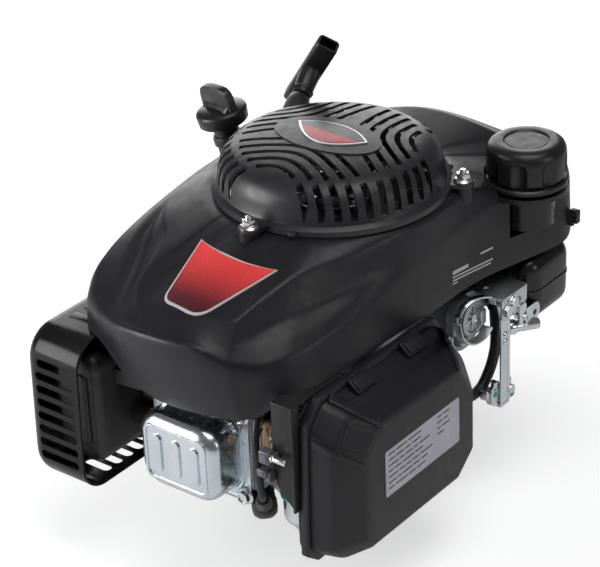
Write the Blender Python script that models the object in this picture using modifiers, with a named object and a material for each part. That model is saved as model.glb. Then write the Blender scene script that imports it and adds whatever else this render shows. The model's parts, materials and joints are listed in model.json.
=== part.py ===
"""Small vertical-shaft gasoline engine, built as an assembly of separate pieces.

Metres, +Z up. The crankshaft axis is x = y = 0. -Y is the cylinder head, which
is the front, +X the carburettor and air filter, -X the exhaust, +Y the fuel tank.
Lengths below are millimetres, scaled once in the helpers, and heights are
measured from the underside of the mounting flange. The last step lifts
everything so that z = 0 is the end face of the output shaft.
"""
import math

import bmesh
import bpy
from mathutils import Matrix, Vector

MM = 0.001
ROUNDNESS = 0.62           # share of each cylinder's nominal side count

# ---- driving dimensions, millimetres ----------------------------------------
BORE_R = 35.0              # cylinder bore 70
THROW = 25.5               # half of the 51 stroke
ROD_LENGTH = 86.0
CYL_Z = 76.0               # height of the cylinder axis
PTO_R = 11.1               # output shaft, 22.2 across
PTO_END = -62.0
SHAFT_R = 12.5             # main journals
WRIST_PIN_Y = -THROW - ROD_LENGTH
CROWN_Y = WRIST_PIN_Y - 20     # piston crown

FLANGE_R = 92.0
FLANGE_T = 10.0
BOLT_CIRCLE_R = 101.6      # 203.2 mounting bolt circle
LUG_AZIMUTHS = (35, 145, 215, 325)
LUG_R = 12.5
CASE_R, CASE_HOLLOW_R = 88, 82             # sump and crankcase skirt
CAM_CASE_R, CAM_HOLLOW_R = 49, 44.8        # the same around the camshaft
SUMP_TOP = 29.7
CASE_BOTTOM = 30.1

HEAD_Y = -134.2            # cylinder head joint face
HEAD_TOP_Y = -173.0
HEAD_HALF_X = 56
HEAD_Z0, HEAD_Z1 = CYL_Z - 46, CYL_Z + 46

CAM_X, CAM_Y = -50.0, -33.166
MODULE = 2.5
CRANK_TEETH = 16
CAM_TEETH = 32
GEAR_Z0, GEAR_Z1 = 19.0, 27.0
TO_CAM = math.atan2(CAM_Y, CAM_X)          # direction from crankshaft to camshaft

ROCKER_X, ROCKER_Y = -16.6, -192.0
VALVE_X = -2.6
VALVE_DZ = 16.0            # valves lie this far above and below the cylinder axis
VALVE_OFFSETS = (-VALVE_DZ, VALVE_DZ)
PORT_Y = -155              # both ports
INTAKE_Z = CYL_Z + VALVE_DZ - 5            # carburettor bore
EXHAUST_Z = CYL_Z - VALVE_DZ

DECK_Z = 228.0             # recoil cover flange plane
COVER_R = 98.0
COVER_H = 45.0
COVER_BOLT_R = 107
COVER_AZIMUTHS = (-90, 30, 150)
PULLEY_R = 32.0
ROPE_Z = DECK_Z + 15       # middle of the pulley groove
HANDLE_DIR = Vector((-0.261, 0.865, 0.427)).normalized()    # direction of pull
HANDLE_BAR = Vector((0.60, -0.196, 0.765)).normalized()     # length of the grip
HANDLE_BASE = Vector((-81.0, 65.0, 261.0))

FILTER_X0, FILTER_X1 = 100.0, 140.0
FILTER_Y0, FILTER_Y1 = -184.0, 2.0
CAP_X, CAP_Y = 110.0, 121.0                # fuel filler axis
NECK_TOP = DECK_Z - 16
OIL_TUBE_BASE = Vector((-118, 60, 60))
OIL_TUBE_TOP = Vector((-143, 36.5, DECK_Z + 6))
PLUG_TIP = Vector((24.0, -140.5, 60.0))
PLUG_DIR = Vector((0.541, -0.534, -0.647)).normalized()     # out of the head

# ---- scene ------------------------------------------------------------------
for old in list(bpy.data.objects):
    bpy.data.objects.remove(old, do_unlink=True)

ENGINE = bpy.data.collections.new("small_gasoline_engine")
CUTTERS = bpy.data.collections.new("cutters")
bpy.context.scene.collection.children.link(ENGINE)
bpy.context.scene.collection.children.link(CUTTERS)
CUTTERS.hide_render = True

# base colour, metallic, roughness
FINISH = {
    "black_plastic": ((0.028, 0.027, 0.030), 0.0, 0.55),
    "gloss_black": ((0.012, 0.012, 0.014), 0.1, 0.22),
    "black_paint": ((0.015, 0.014, 0.014), 0.3, 0.40),
    "cast_aluminium": ((0.55, 0.56, 0.58), 0.9, 0.48),
    "zinc": ((0.66, 0.69, 0.72), 1.0, 0.22),
    "steel": ((0.42, 0.42, 0.43), 1.0, 0.35),
    "cast_iron": ((0.16, 0.16, 0.17), 0.8, 0.60),
    "rubber": ((0.020, 0.020, 0.021), 0.0, 0.75),
    "gasket": ((0.20, 0.21, 0.20), 0.0, 0.85),
    "red_enamel": ((0.62, 0.03, 0.03), 0.0, 0.25),
    "ceramic": ((0.86, 0.85, 0.80), 0.0, 0.30),
    "foam": ((0.10, 0.10, 0.09), 0.0, 0.95),
    "cord": ((0.10, 0.10, 0.10), 0.0, 0.85),
}


def finish(name):
    material = bpy.data.materials.get(name)
    if material is None:
        colour, metallic, roughness = FINISH[name]
        material = bpy.data.materials.new(name)
        material.use_nodes = True
        shader = material.node_tree.nodes["Principled BSDF"]
        shader.inputs["Base Color"].default_value = (*colour, 1.0)
        shader.inputs["Metallic"].default_value = metallic
        shader.inputs["Roughness"].default_value = roughness
    return material


# ---- helpers: shapes start as hidden tools and part() makes them pieces -----
def new_object(name, data):
    obj = bpy.data.objects.new(name, data)
    CUTTERS.objects.link(obj)
    obj.hide_render = True
    if obj.type == "MESH":
        obj.display_type = "WIRE"
    return obj


def mesh_object(name, shape):
    """A hidden object from a bmesh in millimetres."""
    bmesh.ops.scale(shape, vec=(MM, MM, MM), verts=shape.verts)
    mesh = bpy.data.meshes.new(name)
    shape.to_mesh(mesh)
    shape.free()
    return new_object(name, mesh)


def baked(obj):
    """The evaluated object as a plain mesh with its transform applied."""
    bpy.context.view_layer.update()
    graph = bpy.context.evaluated_depsgraph_get()
    mesh = bpy.data.meshes.new_from_object(obj.evaluated_get(graph))
    mesh.transform(obj.matrix_world)
    shape = bmesh.new()
    shape.from_mesh(mesh)
    bmesh.ops.remove_doubles(shape, verts=shape.verts, dist=0.000002)
    shape.to_mesh(mesh)
    shape.free()
    bpy.data.objects.remove(obj, do_unlink=True)
    return new_object("mesh", mesh)


def soften(obj, width, segments=2):
    bevel = obj.modifiers.new("edges", "BEVEL")
    bevel.width = width * MM
    bevel.segments = segments
    bevel.limit_method = "ANGLE"
    bevel.angle_limit = math.radians(30)
    return obj


def box(x0, x1, y0, y1, z0, z1, bevel=0.0, segments=2):
    x0, x1 = min(x0, x1), max(x0, x1)
    centre = ((x0 + x1) / 2, (y0 + y1) / 2, (z0 + z1) / 2)
    shape = bmesh.new()
    bmesh.ops.create_cube(shape, size=1.0)
    bmesh.ops.scale(shape, vec=(x1 - x0, y1 - y0, z1 - z0), verts=shape.verts)
    bmesh.ops.translate(shape, vec=centre, verts=shape.verts)
    obj = mesh_object("box", shape)
    if bevel:
        soften(obj, bevel, segments)
    return obj


def aimed(point, direction):
    """A frame at a point with its Z along the direction."""
    return Matrix.Translation(point) @ direction.to_track_quat("Z", "Y").to_matrix().to_4x4()


def rod(start, end, radius, sides, end_radius=None):
    """A cylinder or cone; eight sides or fewer are exact, more follow ROUNDNESS."""
    start, end = Vector(start), Vector(end)
    if sides > 8:
        sides = max(8, int(sides * ROUNDNESS))
    if end_radius is None:
        end_radius = radius
    axis = end - start
    shape = bmesh.new()
    bmesh.ops.create_cone(shape, cap_ends=True, segments=sides, radius1=radius,
                          radius2=end_radius, depth=axis.length)
    bmesh.ops.transform(shape, matrix=aimed((start + end) / 2, axis), verts=shape.verts)
    return mesh_object("rod", shape)


def post(x, y, z0, z1, radius, sides, end_radius=None):
    return rod((x, y, z0), (x, y, z1), radius, sides, end_radius)


def along_x(y, z, x0, x1, radius, sides):
    return rod((x0, y, z), (x1, y, z), radius, sides)


def along_y(x, z, y0, y1, radius, sides):
    return rod((x, y0, z), (x, y1, z), radius, sides)


AXES = {
    "Z": Matrix.Identity(4),
    "Y": Matrix.Rotation(math.radians(-90), 4, "X"),
}


def turned(profile, steps, centre=(0, 0, 0), axis="Z"):
    """Revolves (radius, height) points; a profile that returns to its start is a ring."""
    ring = profile[0] == profile[-1]
    points = list(profile[:-1]) if ring else list(profile)
    area = sum(p[0] * q[1] - q[0] * p[1] for p, q in zip(points, points[1:] + points[:1]))
    if area > 0:
        points.reverse()
    shape = bmesh.new()
    verts = [shape.verts.new((radius, 0, height)) for radius, height in points]
    for pair in zip(verts, verts[1:] + ([verts[0]] if ring else [])):
        shape.edges.new(pair)
    obj = mesh_object("turned", shape)
    obj.data.update()
    screw = obj.modifiers.new("turn", "SCREW")
    screw.axis = "Z"
    screw.steps = screw.render_steps = steps
    screw.use_merge_vertices = True
    screw.merge_threshold = 0.00001
    obj.matrix_world = Matrix.Translation(Vector(centre) * MM) @ AXES[axis]
    return baked(obj)


def poly_spline(curve, points):
    spline = curve.splines.new("POLY")
    spline.points.add(len(points) - 1)
    for knot, (x, y, z) in zip(spline.points, points):
        knot.co = (x * MM, y * MM, z * MM, 1)
    return spline


def outline(points, low, high, plane="XY", holes=()):
    """A flat outline given thickness. plane names the two axes of the points."""
    curve = bpy.data.curves.new("outline", "CURVE")
    curve.dimensions = "2D"
    curve.fill_mode = "BOTH"
    curve.extrude = abs(high - low) / 2 * MM
    for ring in (points, *holes):
        poly_spline(curve, [(u, v, 0) for u, v in ring]).use_cyclic_u = True
    obj = new_object("outline", curve)
    middle = (low + high) / 2 * MM
    if plane == "XY":
        place = Matrix.Translation((0, 0, middle))
    elif plane == "XZ":
        place = Matrix.Translation((0, middle, 0)) @ Matrix.Rotation(math.radians(90), 4, "X")
    else:
        swap = Matrix(((0, 0, 1, 0), (1, 0, 0, 0), (0, 1, 0, 0), (0, 0, 0, 1)))
        place = Matrix.Translation((middle, 0, 0)) @ swap
    obj.matrix_world = place
    return baked(obj)


def wire(points, radius, resolution):
    """A round wire or hose through the points."""
    curve = bpy.data.curves.new("wire", "CURVE")
    curve.dimensions = "3D"
    curve.bevel_depth = radius * MM
    curve.bevel_resolution = resolution
    curve.use_fill_caps = True
    poly_spline(curve, points)
    return baked(new_object("wire", curve))


def polar(radius, degrees, x=0.0, y=0.0):
    angle = math.radians(degrees)
    return x + radius * math.cos(angle), y + radius * math.sin(angle)


def rounded(x0, x1, y0, y1, radius, steps=5):
    """A rectangle outline with rounded corners."""
    corners = ((x1 - radius, y1 - radius, 0), (x0 + radius, y1 - radius, 90),
               (x0 + radius, y0 + radius, 180), (x1 - radius, y0 + radius, 270))
    return [polar(radius, start + 90 * i / steps, x, y)
            for x, y, start in corners for i in range(steps + 1)]


def circle(x, y, radius):
    angles = [2 * math.pi * i / 24 for i in range(24)]
    return [(x + radius * math.cos(a), y + radius * math.sin(a)) for a in angles]


def spun(obj, angle):
    """Turns a shape about the crankshaft axis, in radians."""
    obj.data.transform(Matrix.Rotation(angle, 4, "Z"))
    return obj


def boolean(obj, tools, kind):
    for tool in tools:
        modifier = obj.modifiers.new(kind.lower(), "BOOLEAN")
        modifier.operation = kind
        modifier.object = tool
        modifier.solver = "EXACT"
    return obj


def cut(obj, *tools):
    return boolean(obj, tools, "DIFFERENCE")


def join(obj, *tools):
    return boolean(obj, tools, "UNION")


def part(name, obj, material, origin=None):
    """Makes a shape one of the engine's pieces, with its origin where it turns or sits."""
    CUTTERS.objects.unlink(obj)
    ENGINE.objects.link(obj)
    obj.hide_render = False
    obj.display_type = "TEXTURED"
    obj.name = obj.data.name = name
    if origin is not None:
        place = Vector(origin) * MM
        obj.data.transform(Matrix.Translation(-place))
        obj.location = place
    obj.data.materials.clear()
    obj.data.materials.append(finish(material))
    for face in obj.data.polygons:
        face.use_smooth = True
    obj.data.set_sharp_from_angle(angle=math.radians(35))


# ---- places shared by several pieces ----------------------------------------
PUSHROD_CAM_Y, PUSHROD_TIP_Y = -52.0, -185.0
PUSHROD_LEAN = 17.4        # sideways run between those two


def pushrod_at(y, offset):
    """A point on the inclined pushrod's axis."""
    share = (y - PUSHROD_CAM_Y) / (PUSHROD_TIP_Y - PUSHROD_CAM_Y)
    return (CAM_X + PUSHROD_LEAN * share, y, CYL_Z + offset)


def plug_at(distance):
    """A point on the spark plug's axis, outwards from its tip."""
    return PLUG_TIP + PLUG_DIR * distance


def cover_posts(z0, z1, radius, sides):
    """A post at each recoil cover stud, with heights over the deck."""
    places = [polar(COVER_BOLT_R, azimuth) for azimuth in COVER_AZIMUTHS]
    return [post(x, y, DECK_Z + z0, DECK_Z + z1, radius, sides) for x, y in places]


# ---- sump, crankcase and cylinder head --------------------------------------
def build_sump():
    flange = post(0, 0, 0, FLANGE_T, FLANGE_R, 28)
    bolts = [polar(BOLT_CIRCLE_R, azimuth) for azimuth in LUG_AZIMUTHS]
    lugs = [post(x, y, 0, FLANGE_T, LUG_R, 10) for x, y in bolts]
    links = [spun(box(70, BOLT_CIRCLE_R, -LUG_R, LUG_R, 0.5, FLANGE_T - 0.5),
                  math.radians(azimuth)) for azimuth in LUG_AZIMUTHS]
    wall = post(0, 0, FLANGE_T - 1, SUMP_TOP, CASE_R, 32)
    cam_wall = post(CAM_X, CAM_Y, FLANGE_T - 5, SUMP_TOP, CAM_CASE_R, 28)
    hollow = post(0, 0, 12, 40, CASE_HOLLOW_R, 32)
    cam_hollow = post(CAM_X, CAM_Y, 12, 40, CAM_HOLLOW_R, 28)
    boss = post(0, 0, 3, 17, 20, 24)
    cam_boss = post(CAM_X, CAM_Y, 8, 17, 12, 20)
    shaft_hole = post(0, 0, -5, 45, SHAFT_R + 0.5, 24)
    cam_hole = post(CAM_X, CAM_Y, 11.5, 40, 7.4, 20)
    sump = join(flange, *lugs, *links, wall, cam_wall)
    cut(sump, hollow, cam_hollow)
    join(sump, boss, cam_boss)
    cut(sump, shaft_hole, cam_hole)
    cut(sump, *[post(x, y, -3, FLANGE_T + 3, 4.6, 10) for x, y in bolts])
    part("sump", sump, "cast_aluminium")


def crankcase_body():
    """The solid crankcase and cylinder, before they are hollowed."""
    body = post(0, 0, CASE_BOTTOM, 41, CASE_R, 32)
    join(body, post(CAM_X, CAM_Y, CASE_BOTTOM, 41, CAM_CASE_R, 28))
    join(body, post(0, 0, 40, 128, 60, 28), post(CAM_X, CAM_Y, 40, 128, 25, 20))
    # upper bearing tower, its disc and four ribs
    join(body, post(0, 0, 126, 164, 27, 20), post(0, 0, 146, 154, 84, 32))
    join(body, *[spun(box(24, 58, -2.5, 2.5, 124, 148), math.radians(azimuth))
                 for azimuth in (20, 110, 200, 290)])
    # governor and brake boss on the carburettor side
    join(body, along_x(66, 94, 26, 86, 26, 18), box(48, 103, 13, 27, 64, 73))
    # cylinder, its fins and the plate under the head
    join(body, along_y(0, CYL_Z, -132, -45, BORE_R + 6, 28))
    for i in range(3):
        y = -122 + i * 11
        join(body, along_y(0, CYL_Z, y, y + 2.4, 56, 24))
    join(body, box(-HEAD_HALF_X, HEAD_HALF_X, -132, -126, HEAD_Z0, HEAD_Z1))
    # pushrod tubes
    for offset in VALVE_OFFSETS:
        z = CYL_Z + offset
        join(body, rod((CAM_X + 0.5, -50, z), (-39.6, -129, z), 8, 12))
    return body


def build_crankcase():
    case = crankcase_body()
    cut(case, post(0, 0, 20, 34.4, CASE_HOLLOW_R, 32),
        post(CAM_X, CAM_Y, 20, 34.4, CAM_HOLLOW_R, 28))
    cut(case, post(0, 0, 20, 122, 51, 28))
    cut(case, post(CAM_X, CAM_Y, 20, 112, 19.5, 20))
    cut(case, along_y(0, CYL_Z, -140, -20, BORE_R + 0.5, 32))
    # crankshaft, camshaft and governor bores
    cut(case, post(0, 0, 110, 170, SHAFT_R + 0.5, 24))
    cut(case, post(CAM_X, CAM_Y, 100, 120, 7.5, 16))
    cut(case, post(96, 20, 55, 80, 3.6, 14))
    # pushrods and the wider bores for their feet
    for offset in VALVE_OFFSETS:
        cut(case, rod(pushrod_at(-36, offset), pushrod_at(-140, offset), 4.2, 12))
        cut(case, along_y(CAM_X, CYL_Z + offset, -36, -70, 10.4, 18))
    part("crankcase", case, "cast_aluminium")


def build_head_gasket():
    edge = rounded(-HEAD_HALF_X, HEAD_HALF_X, HEAD_Z0, HEAD_Z1, 6)
    gasket = outline(edge, -133.9, -132.3, "XZ", [circle(0, CYL_Z, 35.5)])
    cut(gasket, *[rod(pushrod_at(-120, offset), pushrod_at(-145, offset), 4.6, 16)
                  for offset in VALVE_OFFSETS])
    part("head_gasket", gasket, "gasket")


def build_cylinder_head():
    intake_z = CYL_Z + VALVE_DZ
    head = box(-HEAD_HALF_X, HEAD_HALF_X, HEAD_TOP_Y, HEAD_Y, HEAD_Z0, HEAD_Z1)
    # slots between the fins on both sides
    for i in range(3):
        z = CYL_Z + 18 + i * 9.5
        cut(head, box(-70, -36, -168, -139, z, z + 4.5), box(36, 70, -168, -139, z, z + 4.5))
    # rocker shaft lug
    join(head, box(ROCKER_X - 5, ROCKER_X + 5, -199, HEAD_TOP_Y + 3, CYL_Z - 5, CYL_Z + 5))
    # combustion chamber
    cut(head, along_y(0, CYL_Z, -146.2, -130, 33.2, 27))
    for offset in VALVE_OFFSETS:
        cut(head, along_y(VALVE_X, CYL_Z + offset, -180, -140, 3.3, 16))
        cut(head, rod(pushrod_at(-125, offset), pushrod_at(-180, offset), 4.6, 16))
    # inlet port to +X, exhaust port to -X
    cut(head, rod((VALVE_X, PORT_Y, intake_z), (80, PORT_Y, intake_z - 6), 10, 20))
    cut(head, along_y(VALVE_X, intake_z, PORT_Y, -140, 9.5, 20))
    cut(head, along_y(VALVE_X, EXHAUST_Z, PORT_Y, -140, 8.5, 20))
    cut(head, along_x(PORT_Y, EXHAUST_Z, VALVE_X, -80, 9, 20))
    cut(head, post(ROCKER_X, ROCKER_Y, 40, 110, 3.5, 16))
    # plug thread, the well around the plug and a notch in the corner
    cut(head, rod(plug_at(-4), plug_at(16), 6.9, 20), rod(plug_at(15.5), plug_at(70), 13.5, 20),
        box(49, 60, -176, -163, 26, 46))
    part("cylinder_head", head, "cast_aluminium")


# ---- crank train ------------------------------------------------------------
def gear_points(teeth, x, y, phase):
    """A gear outline, straight flanks between involute points, some backlash.

    Tooth 0 is centred on phase.
    """
    pitch_r = MODULE * teeth / 2
    base_r = pitch_r * math.cos(math.radians(20))
    tip_r = pitch_r + 0.85 * MODULE
    root_r = pitch_r - 1.2 * MODULE
    involute = math.tan(math.radians(20)) - math.radians(20)
    foot = math.pi / (2 * teeth) - 0.22 / pitch_r + involute
    pressure = math.acos(base_r / tip_r)
    tip = foot - (math.tan(pressure) - pressure)
    points = []
    for tooth in range(teeth):
        mid = phase + 2 * math.pi * tooth / teeth
        points += [(root_r, mid - foot), (tip_r, mid - tip), (tip_r, mid + tip),
                   (root_r, mid + foot)]
    return [(x + r * math.cos(a), y + r * math.sin(a)) for r, a in points]


def build_crankshaft():
    z = CYL_Z
    crank = post(0, 0, PTO_END, -2.0, PTO_R, 24)
    join(crank, post(0, 0, -3.0, z - 12, SHAFT_R, 24))
    join(crank, post(0, 0, z + 12, 167, SHAFT_R, 24))
    join(crank, post(0, 0, 166.5, 198, SHAFT_R - 0.4, 24, 9.0))
    join(crank, post(0, 0, 197, 219, 7.0, 16))
    join(crank, post(0, -THROW, z - 13, z + 13, 14.5, 20))
    # webs, cut flat on both sides of the crankpin
    for z0, z1 in ((z - 23, z - 11.5), (z + 11.5, z + 23)):
        join(crank, post(0, -8, z0, z1, 33.5, 24))
        join(crank, post(0, 0, z0 + 0.4, z1 - 0.4, 41, 28))
        for side in (-1, 1):
            cut(crank, box(side * 45, side * 27, -44, 4, z0 - 1, z1 + 1))
    # keyway in the output shaft
    cut(crank, box(PTO_R - 3.2, PTO_R + 2, -2.4, 2.4, PTO_END - 1, -24))
    part("crankshaft", crank, "steel", (0, 0, z))


def build_crank_gear():
    gear = outline(gear_points(CRANK_TEETH, 0, 0, TO_CAM), GEAR_Z0, GEAR_Z1, "XY",
                   [circle(0, 0, SHAFT_R + 0.45)])
    part("crank_gear", gear, "steel", (0, 0, GEAR_Z0))


def build_flywheel():
    bore = SHAFT_R + 0.4
    wheel = turned([
        (bore, 168), (28, 168), (28, 176), (68, 180), (68, 170), (85, 170), (85, 199),
        (72, 199), (68, 190), (30, 188), (26, 198), (9.8, 198), (bore, 168)], 24)
    blades = 10
    blade_y = 18           # blades stand off the radial line
    for i in range(blades):
        blade = box(57, 82, blade_y - 1.1, blade_y + 1.1, 185, 214)
        join(wheel, spun(blade, 2 * math.pi * i / blades))
    part("flywheel", wheel, "cast_iron", (0, 0, 185))


def build_starter_cup():
    cup = turned([
        (7.7, 198.6), (32, 198.6), (35, 222), (33.4, 222), (30.6, 200.2), (7.7, 200.2),
        (7.7, 198.6)], 24)
    part("starter_cup", cup, "zinc", (0, 0, 200))


def build_flywheel_nut():
    across_flats = 22
    nut = post(0, 0, 200.6, 212, across_flats / math.sqrt(3), 6)
    cut(nut, post(0, 0, 199, 214, 7.6, 16))
    part("flywheel_nut", nut, "zinc", (0, 0, 206))


def build_camshaft():
    """The camshaft with its gear and two lobes."""
    phase = TO_CAM + math.pi + math.pi / CAM_TEETH
    cam = outline(gear_points(CAM_TEETH, CAM_X, CAM_Y, phase), GEAR_Z0, GEAR_Z1)
    join(cam, post(CAM_X, CAM_Y, 12.2, 118.5, 7.0, 16))
    for offset, azimuth in zip(VALVE_OFFSETS, (40, 150)):
        z = CYL_Z + offset
        join(cam, post(CAM_X, CAM_Y, z - 4.5, z + 4.5, 11.2, 20))
        join(cam, post(*polar(8.5, azimuth, CAM_X, CAM_Y), z - 4.2, z + 4.2, 7.6, 16))
    part("camshaft", cam, "cast_iron", (CAM_X, CAM_Y, 60))


def build_connecting_rod():
    """Big end on the crankpin, small end at the wrist pin."""
    z = CYL_Z
    link = post(0, -THROW, z - 10.5, z + 10.5, 17.0, 24)
    join(link, box(-5, 5, WRIST_PIN_Y + 4, -THROW - 12, z - 5, z + 5))
    join(link, post(0, WRIST_PIN_Y, z - 6, z + 6, 8.6, 24))
    cut(link, post(0, -THROW, z - 15, z + 15, 14.5 + 0.6, 20),
        post(0, WRIST_PIN_Y, z - 9, z + 9, 5.5, 16))
    part("connecting_rod", link, "cast_aluminium", (0, -THROW, z))


def build_wrist_pin():
    pin = post(0, WRIST_PIN_Y, CYL_Z - 9, CYL_Z + 9, 5.0, 16)
    part("wrist_pin", pin, "steel", (0, WRIST_PIN_Y, CYL_Z))


def build_piston():
    """Open towards the crankshaft (+Y), with one ring groove behind the crown."""
    skirt = 34.7
    centre = (0, CROWN_Y, CYL_Z)
    piston = turned([
        (0, 0), (skirt, 0), (skirt, 5), (32.6, 5), (32.6, 6.8), (skirt, 6.8),
        (skirt, 30), (31.8, 30), (31.8, 16), (29, 7), (0, 6)], 24, centre, "Y")
    part("piston", piston, "cast_aluminium", centre)


# ---- valve train ------------------------------------------------------------
def build_valve(kind, z, head_radius):
    valve = along_y(VALVE_X, z, -188.4, -143, 2.8, 16)
    join(valve, along_y(VALVE_X, z, -145.2, -142.4, head_radius, 20))
    join(valve, along_y(VALVE_X, z, -186.5, -184.3, 9.6, 16))
    part(kind + "_valve", valve, "steel", (VALVE_X, -150, z))


def build_valve_spring(kind, z):
    radius, length = 7.0, 8.6
    turns, steps = 3, 9
    coil = []
    for i in range(turns * steps + 1):
        angle = 2 * math.pi * i / steps
        coil.append((VALVE_X + radius * math.cos(angle),
                     HEAD_TOP_Y - 1.6 - length * i / (turns * steps),
                     z + radius * math.sin(angle)))
    part("valve_spring_" + kind, wire(coil, 1.1, 0), "steel", (VALVE_X, HEAD_TOP_Y, z))


def build_rocker(kind, z):
    x, y = ROCKER_X, ROCKER_Y
    arm = box(x - 16, x + 14, y - 3.5, y + 1.5, z - 3.5, z + 3.5)
    join(arm, post(x, y, z - 5, z + 5, 6.0, 16))
    for end in (14, -16):
        join(arm, post(x + end, y - 1, z - 4.5, z + 4.5, 4.0, 12))
    cut(arm, post(x, y, z - 8, z + 8, 3.4, 20))
    part("rocker_" + kind, arm, "steel", (x, y, z))


def build_pushrod(kind, offset):
    tip = Vector(pushrod_at(PUSHROD_TIP_Y, offset))
    push = rod(pushrod_at(-58, offset), tip, 3.0, 12)
    join(push, along_y(CAM_X, CYL_Z + offset, -61.0, -50.6, 8.0, 16))
    ball = [(0, 3.0), (1.5, 2.6), (2.6, 1.5), (3.0, 0), (2.6, -1.5), (1.5, -2.6), (0, -3.0)]
    join(push, turned(ball, 12, tip))
    part("pushrod_" + kind, push, "steel", tip)


def build_valve_train():
    for kind, offset, head_radius in (("intake", VALVE_DZ, 13.2), ("exhaust", -VALVE_DZ, 11.4)):
        z = CYL_Z + offset
        build_valve(kind, z, head_radius)
        build_valve_spring(kind, z)
        build_rocker(kind, z)
        build_pushrod(kind, offset)
    shaft = post(ROCKER_X, ROCKER_Y, CYL_Z - 24, CYL_Z + 24, 3.0, 20)
    part("rocker_shaft", shaft, "steel", (ROCKER_X, ROCKER_Y, CYL_Z))


VALVE_COVER_Z = 73.0
VALVE_COVER_BOLTS = [(x, VALVE_COVER_Z + dz) for x in (-40.5, 40.5) for dz in (-37.0, 37.0)]


def build_valve_cover():
    z = VALVE_COVER_Z
    joint_y = -173.4
    cover = outline(rounded(-46, 46, z - 42, z + 42, 12), -175.6, joint_y, "XZ")
    dome = box(-39.5, 39.5, -211, -150, z - 33, z + 33, 9, 3)
    cut(dome, box(-60, 60, joint_y, -140, 0, 150))
    join(cover, dome)
    cut(cover, box(-38.1, 38.1, -209.4, -150, z - 31.6, z + 31.6, 8, 2))
    cut(cover, *[along_y(x, z, -180, -170, 3.4, 16) for x, z in VALVE_COVER_BOLTS])
    part("valve_cover", cover, "zinc")


def build_valve_cover_bolts():
    for i, (x, z) in enumerate(VALVE_COVER_BOLTS):
        bolt = along_y(x, z, -181.6, -177.4, 5.8, 6)
        join(bolt, along_y(x, z, -177.6, -176.0, 7.2, 20))
        join(bolt, along_y(x, z, -177.2, -173.4, 3.0, 16))
        part("valve_cover_bolt_%d" % (i + 1), bolt, "zinc", (x, -177.5, z))


# ---- ignition ---------------------------------------------------------------
LEAD_BASE = plug_at(52)    # where the boot's side outlet leaves the plug axis
LEAD_DIR = Vector((0.42, -0.56, 0.71)).normalized()


def build_spark_plug():
    plug = rod(plug_at(0), plug_at(16.2), 6.2, 20)
    join(plug, rod(plug_at(16), plug_at(25), 9.2, 6), rod(plug_at(24), plug_at(29), 6.8, 20),
         rod(plug_at(28), plug_at(44), 4.6, 16))
    join(plug, rod(plug_at(43), plug_at(50), 2.6, 12))
    part("spark_plug", plug, "ceramic", plug_at(16))


def build_spark_plug_boot():
    boot = rod(plug_at(31), plug_at(44), 8.0, 20, 9.6)
    join(boot, rod(plug_at(43.5), plug_at(60), 9.6, 20, 8.4))
    join(boot, rod(LEAD_BASE + LEAD_DIR, LEAD_BASE + LEAD_DIR * 24, 5.8, 16, 5.0))
    cut(boot, rod(plug_at(26), plug_at(44.5), 5.4, 16), rod(plug_at(44), plug_at(51), 3.3, 12))
    cut(boot, rod(LEAD_BASE + LEAD_DIR * 16, LEAD_BASE + LEAD_DIR * 30, 3.5, 16))
    part("spark_plug_boot", boot, "rubber", plug_at(45))


def build_ignition_lead():
    start = LEAD_BASE + LEAD_DIR * 16.6
    path = [start, start + LEAD_DIR * 12, (68, -190, 58), (66, -191, 90), (62, -185, 112),
            (59, -172, 126), (58, -130, 146), (62, -106, 158), (56, -98, 166)]
    part("ignition_lead", wire(path, 3.0, 1), "rubber", start)


def build_ignition_coil():
    angle = math.radians(28)
    coil = spun(box(-16, 16, -97, -86.6, 172, 194, 2, 1), angle)
    join(coil, spun(box(-10, 10, -110, -90, 167, 199, 3, 1), angle))
    part("ignition_coil", coil, "black_plastic", (55, -90, 180))


# ---- exhaust ----------------------------------------------------------------
def build_muffler():
    z = EXHAUST_Z
    body = box(-140, -86, -203, -98, 30, 130, 10, 2)
    # inlet pipe, its flange and a raised panel on the engine side
    join(body, along_x(PORT_Y, z, -90, -58, 11.5, 20),
         box(-62, -57.6, PORT_Y - 16, PORT_Y + 16, z - 20, z + 20, 3, 1))
    join(body, box(-87, -84, -190, -110, 44, 118, 2, 1))
    cut(body, along_x(PORT_Y, z, -88, -50, 9, 20))
    join(body, along_x(-180, 106, -84, -66, 6, 16))
    # open stub under the body
    join(body, post(-114, -120, 20, 40, 9, 14))
    cut(body, post(-114, -120, 15, 38, 7, 14))
    part("muffler", body, "black_paint")


def build_muffler_guard():
    """One bent sheet: top, front, bottom and outer side, with slots."""
    guard = box(-152, -50, -222, -20, 9, 145.6, 26, 3)
    cut(guard, box(-150, -40, -220, -10, 11, 143.6, 24, 3))
    cut(guard, box(-94, -30, -240, 0, -5, 160), box(-165, -20, -64, 0, -5, 160))
    cut(guard, *[outline(rounded(-144, -101, z - 3.6, z + 3.6, 3.4, 1), -230, -210, "XZ")
                 for z in range(116, 43, -12)])
    cut(guard, *[outline(rounded(-140, -101, y, y + 9, 4.3, 1), 3, 17)
                 for y in (-204, -188, -172, -156)])
    cut(guard, *[outline(rounded(y, y + 12, 70, 104, 5.9, 1), -160, -143, "YZ")
                 for y in (-180, -150)])
    part("muffler_guard", guard, "gloss_black")


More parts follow.
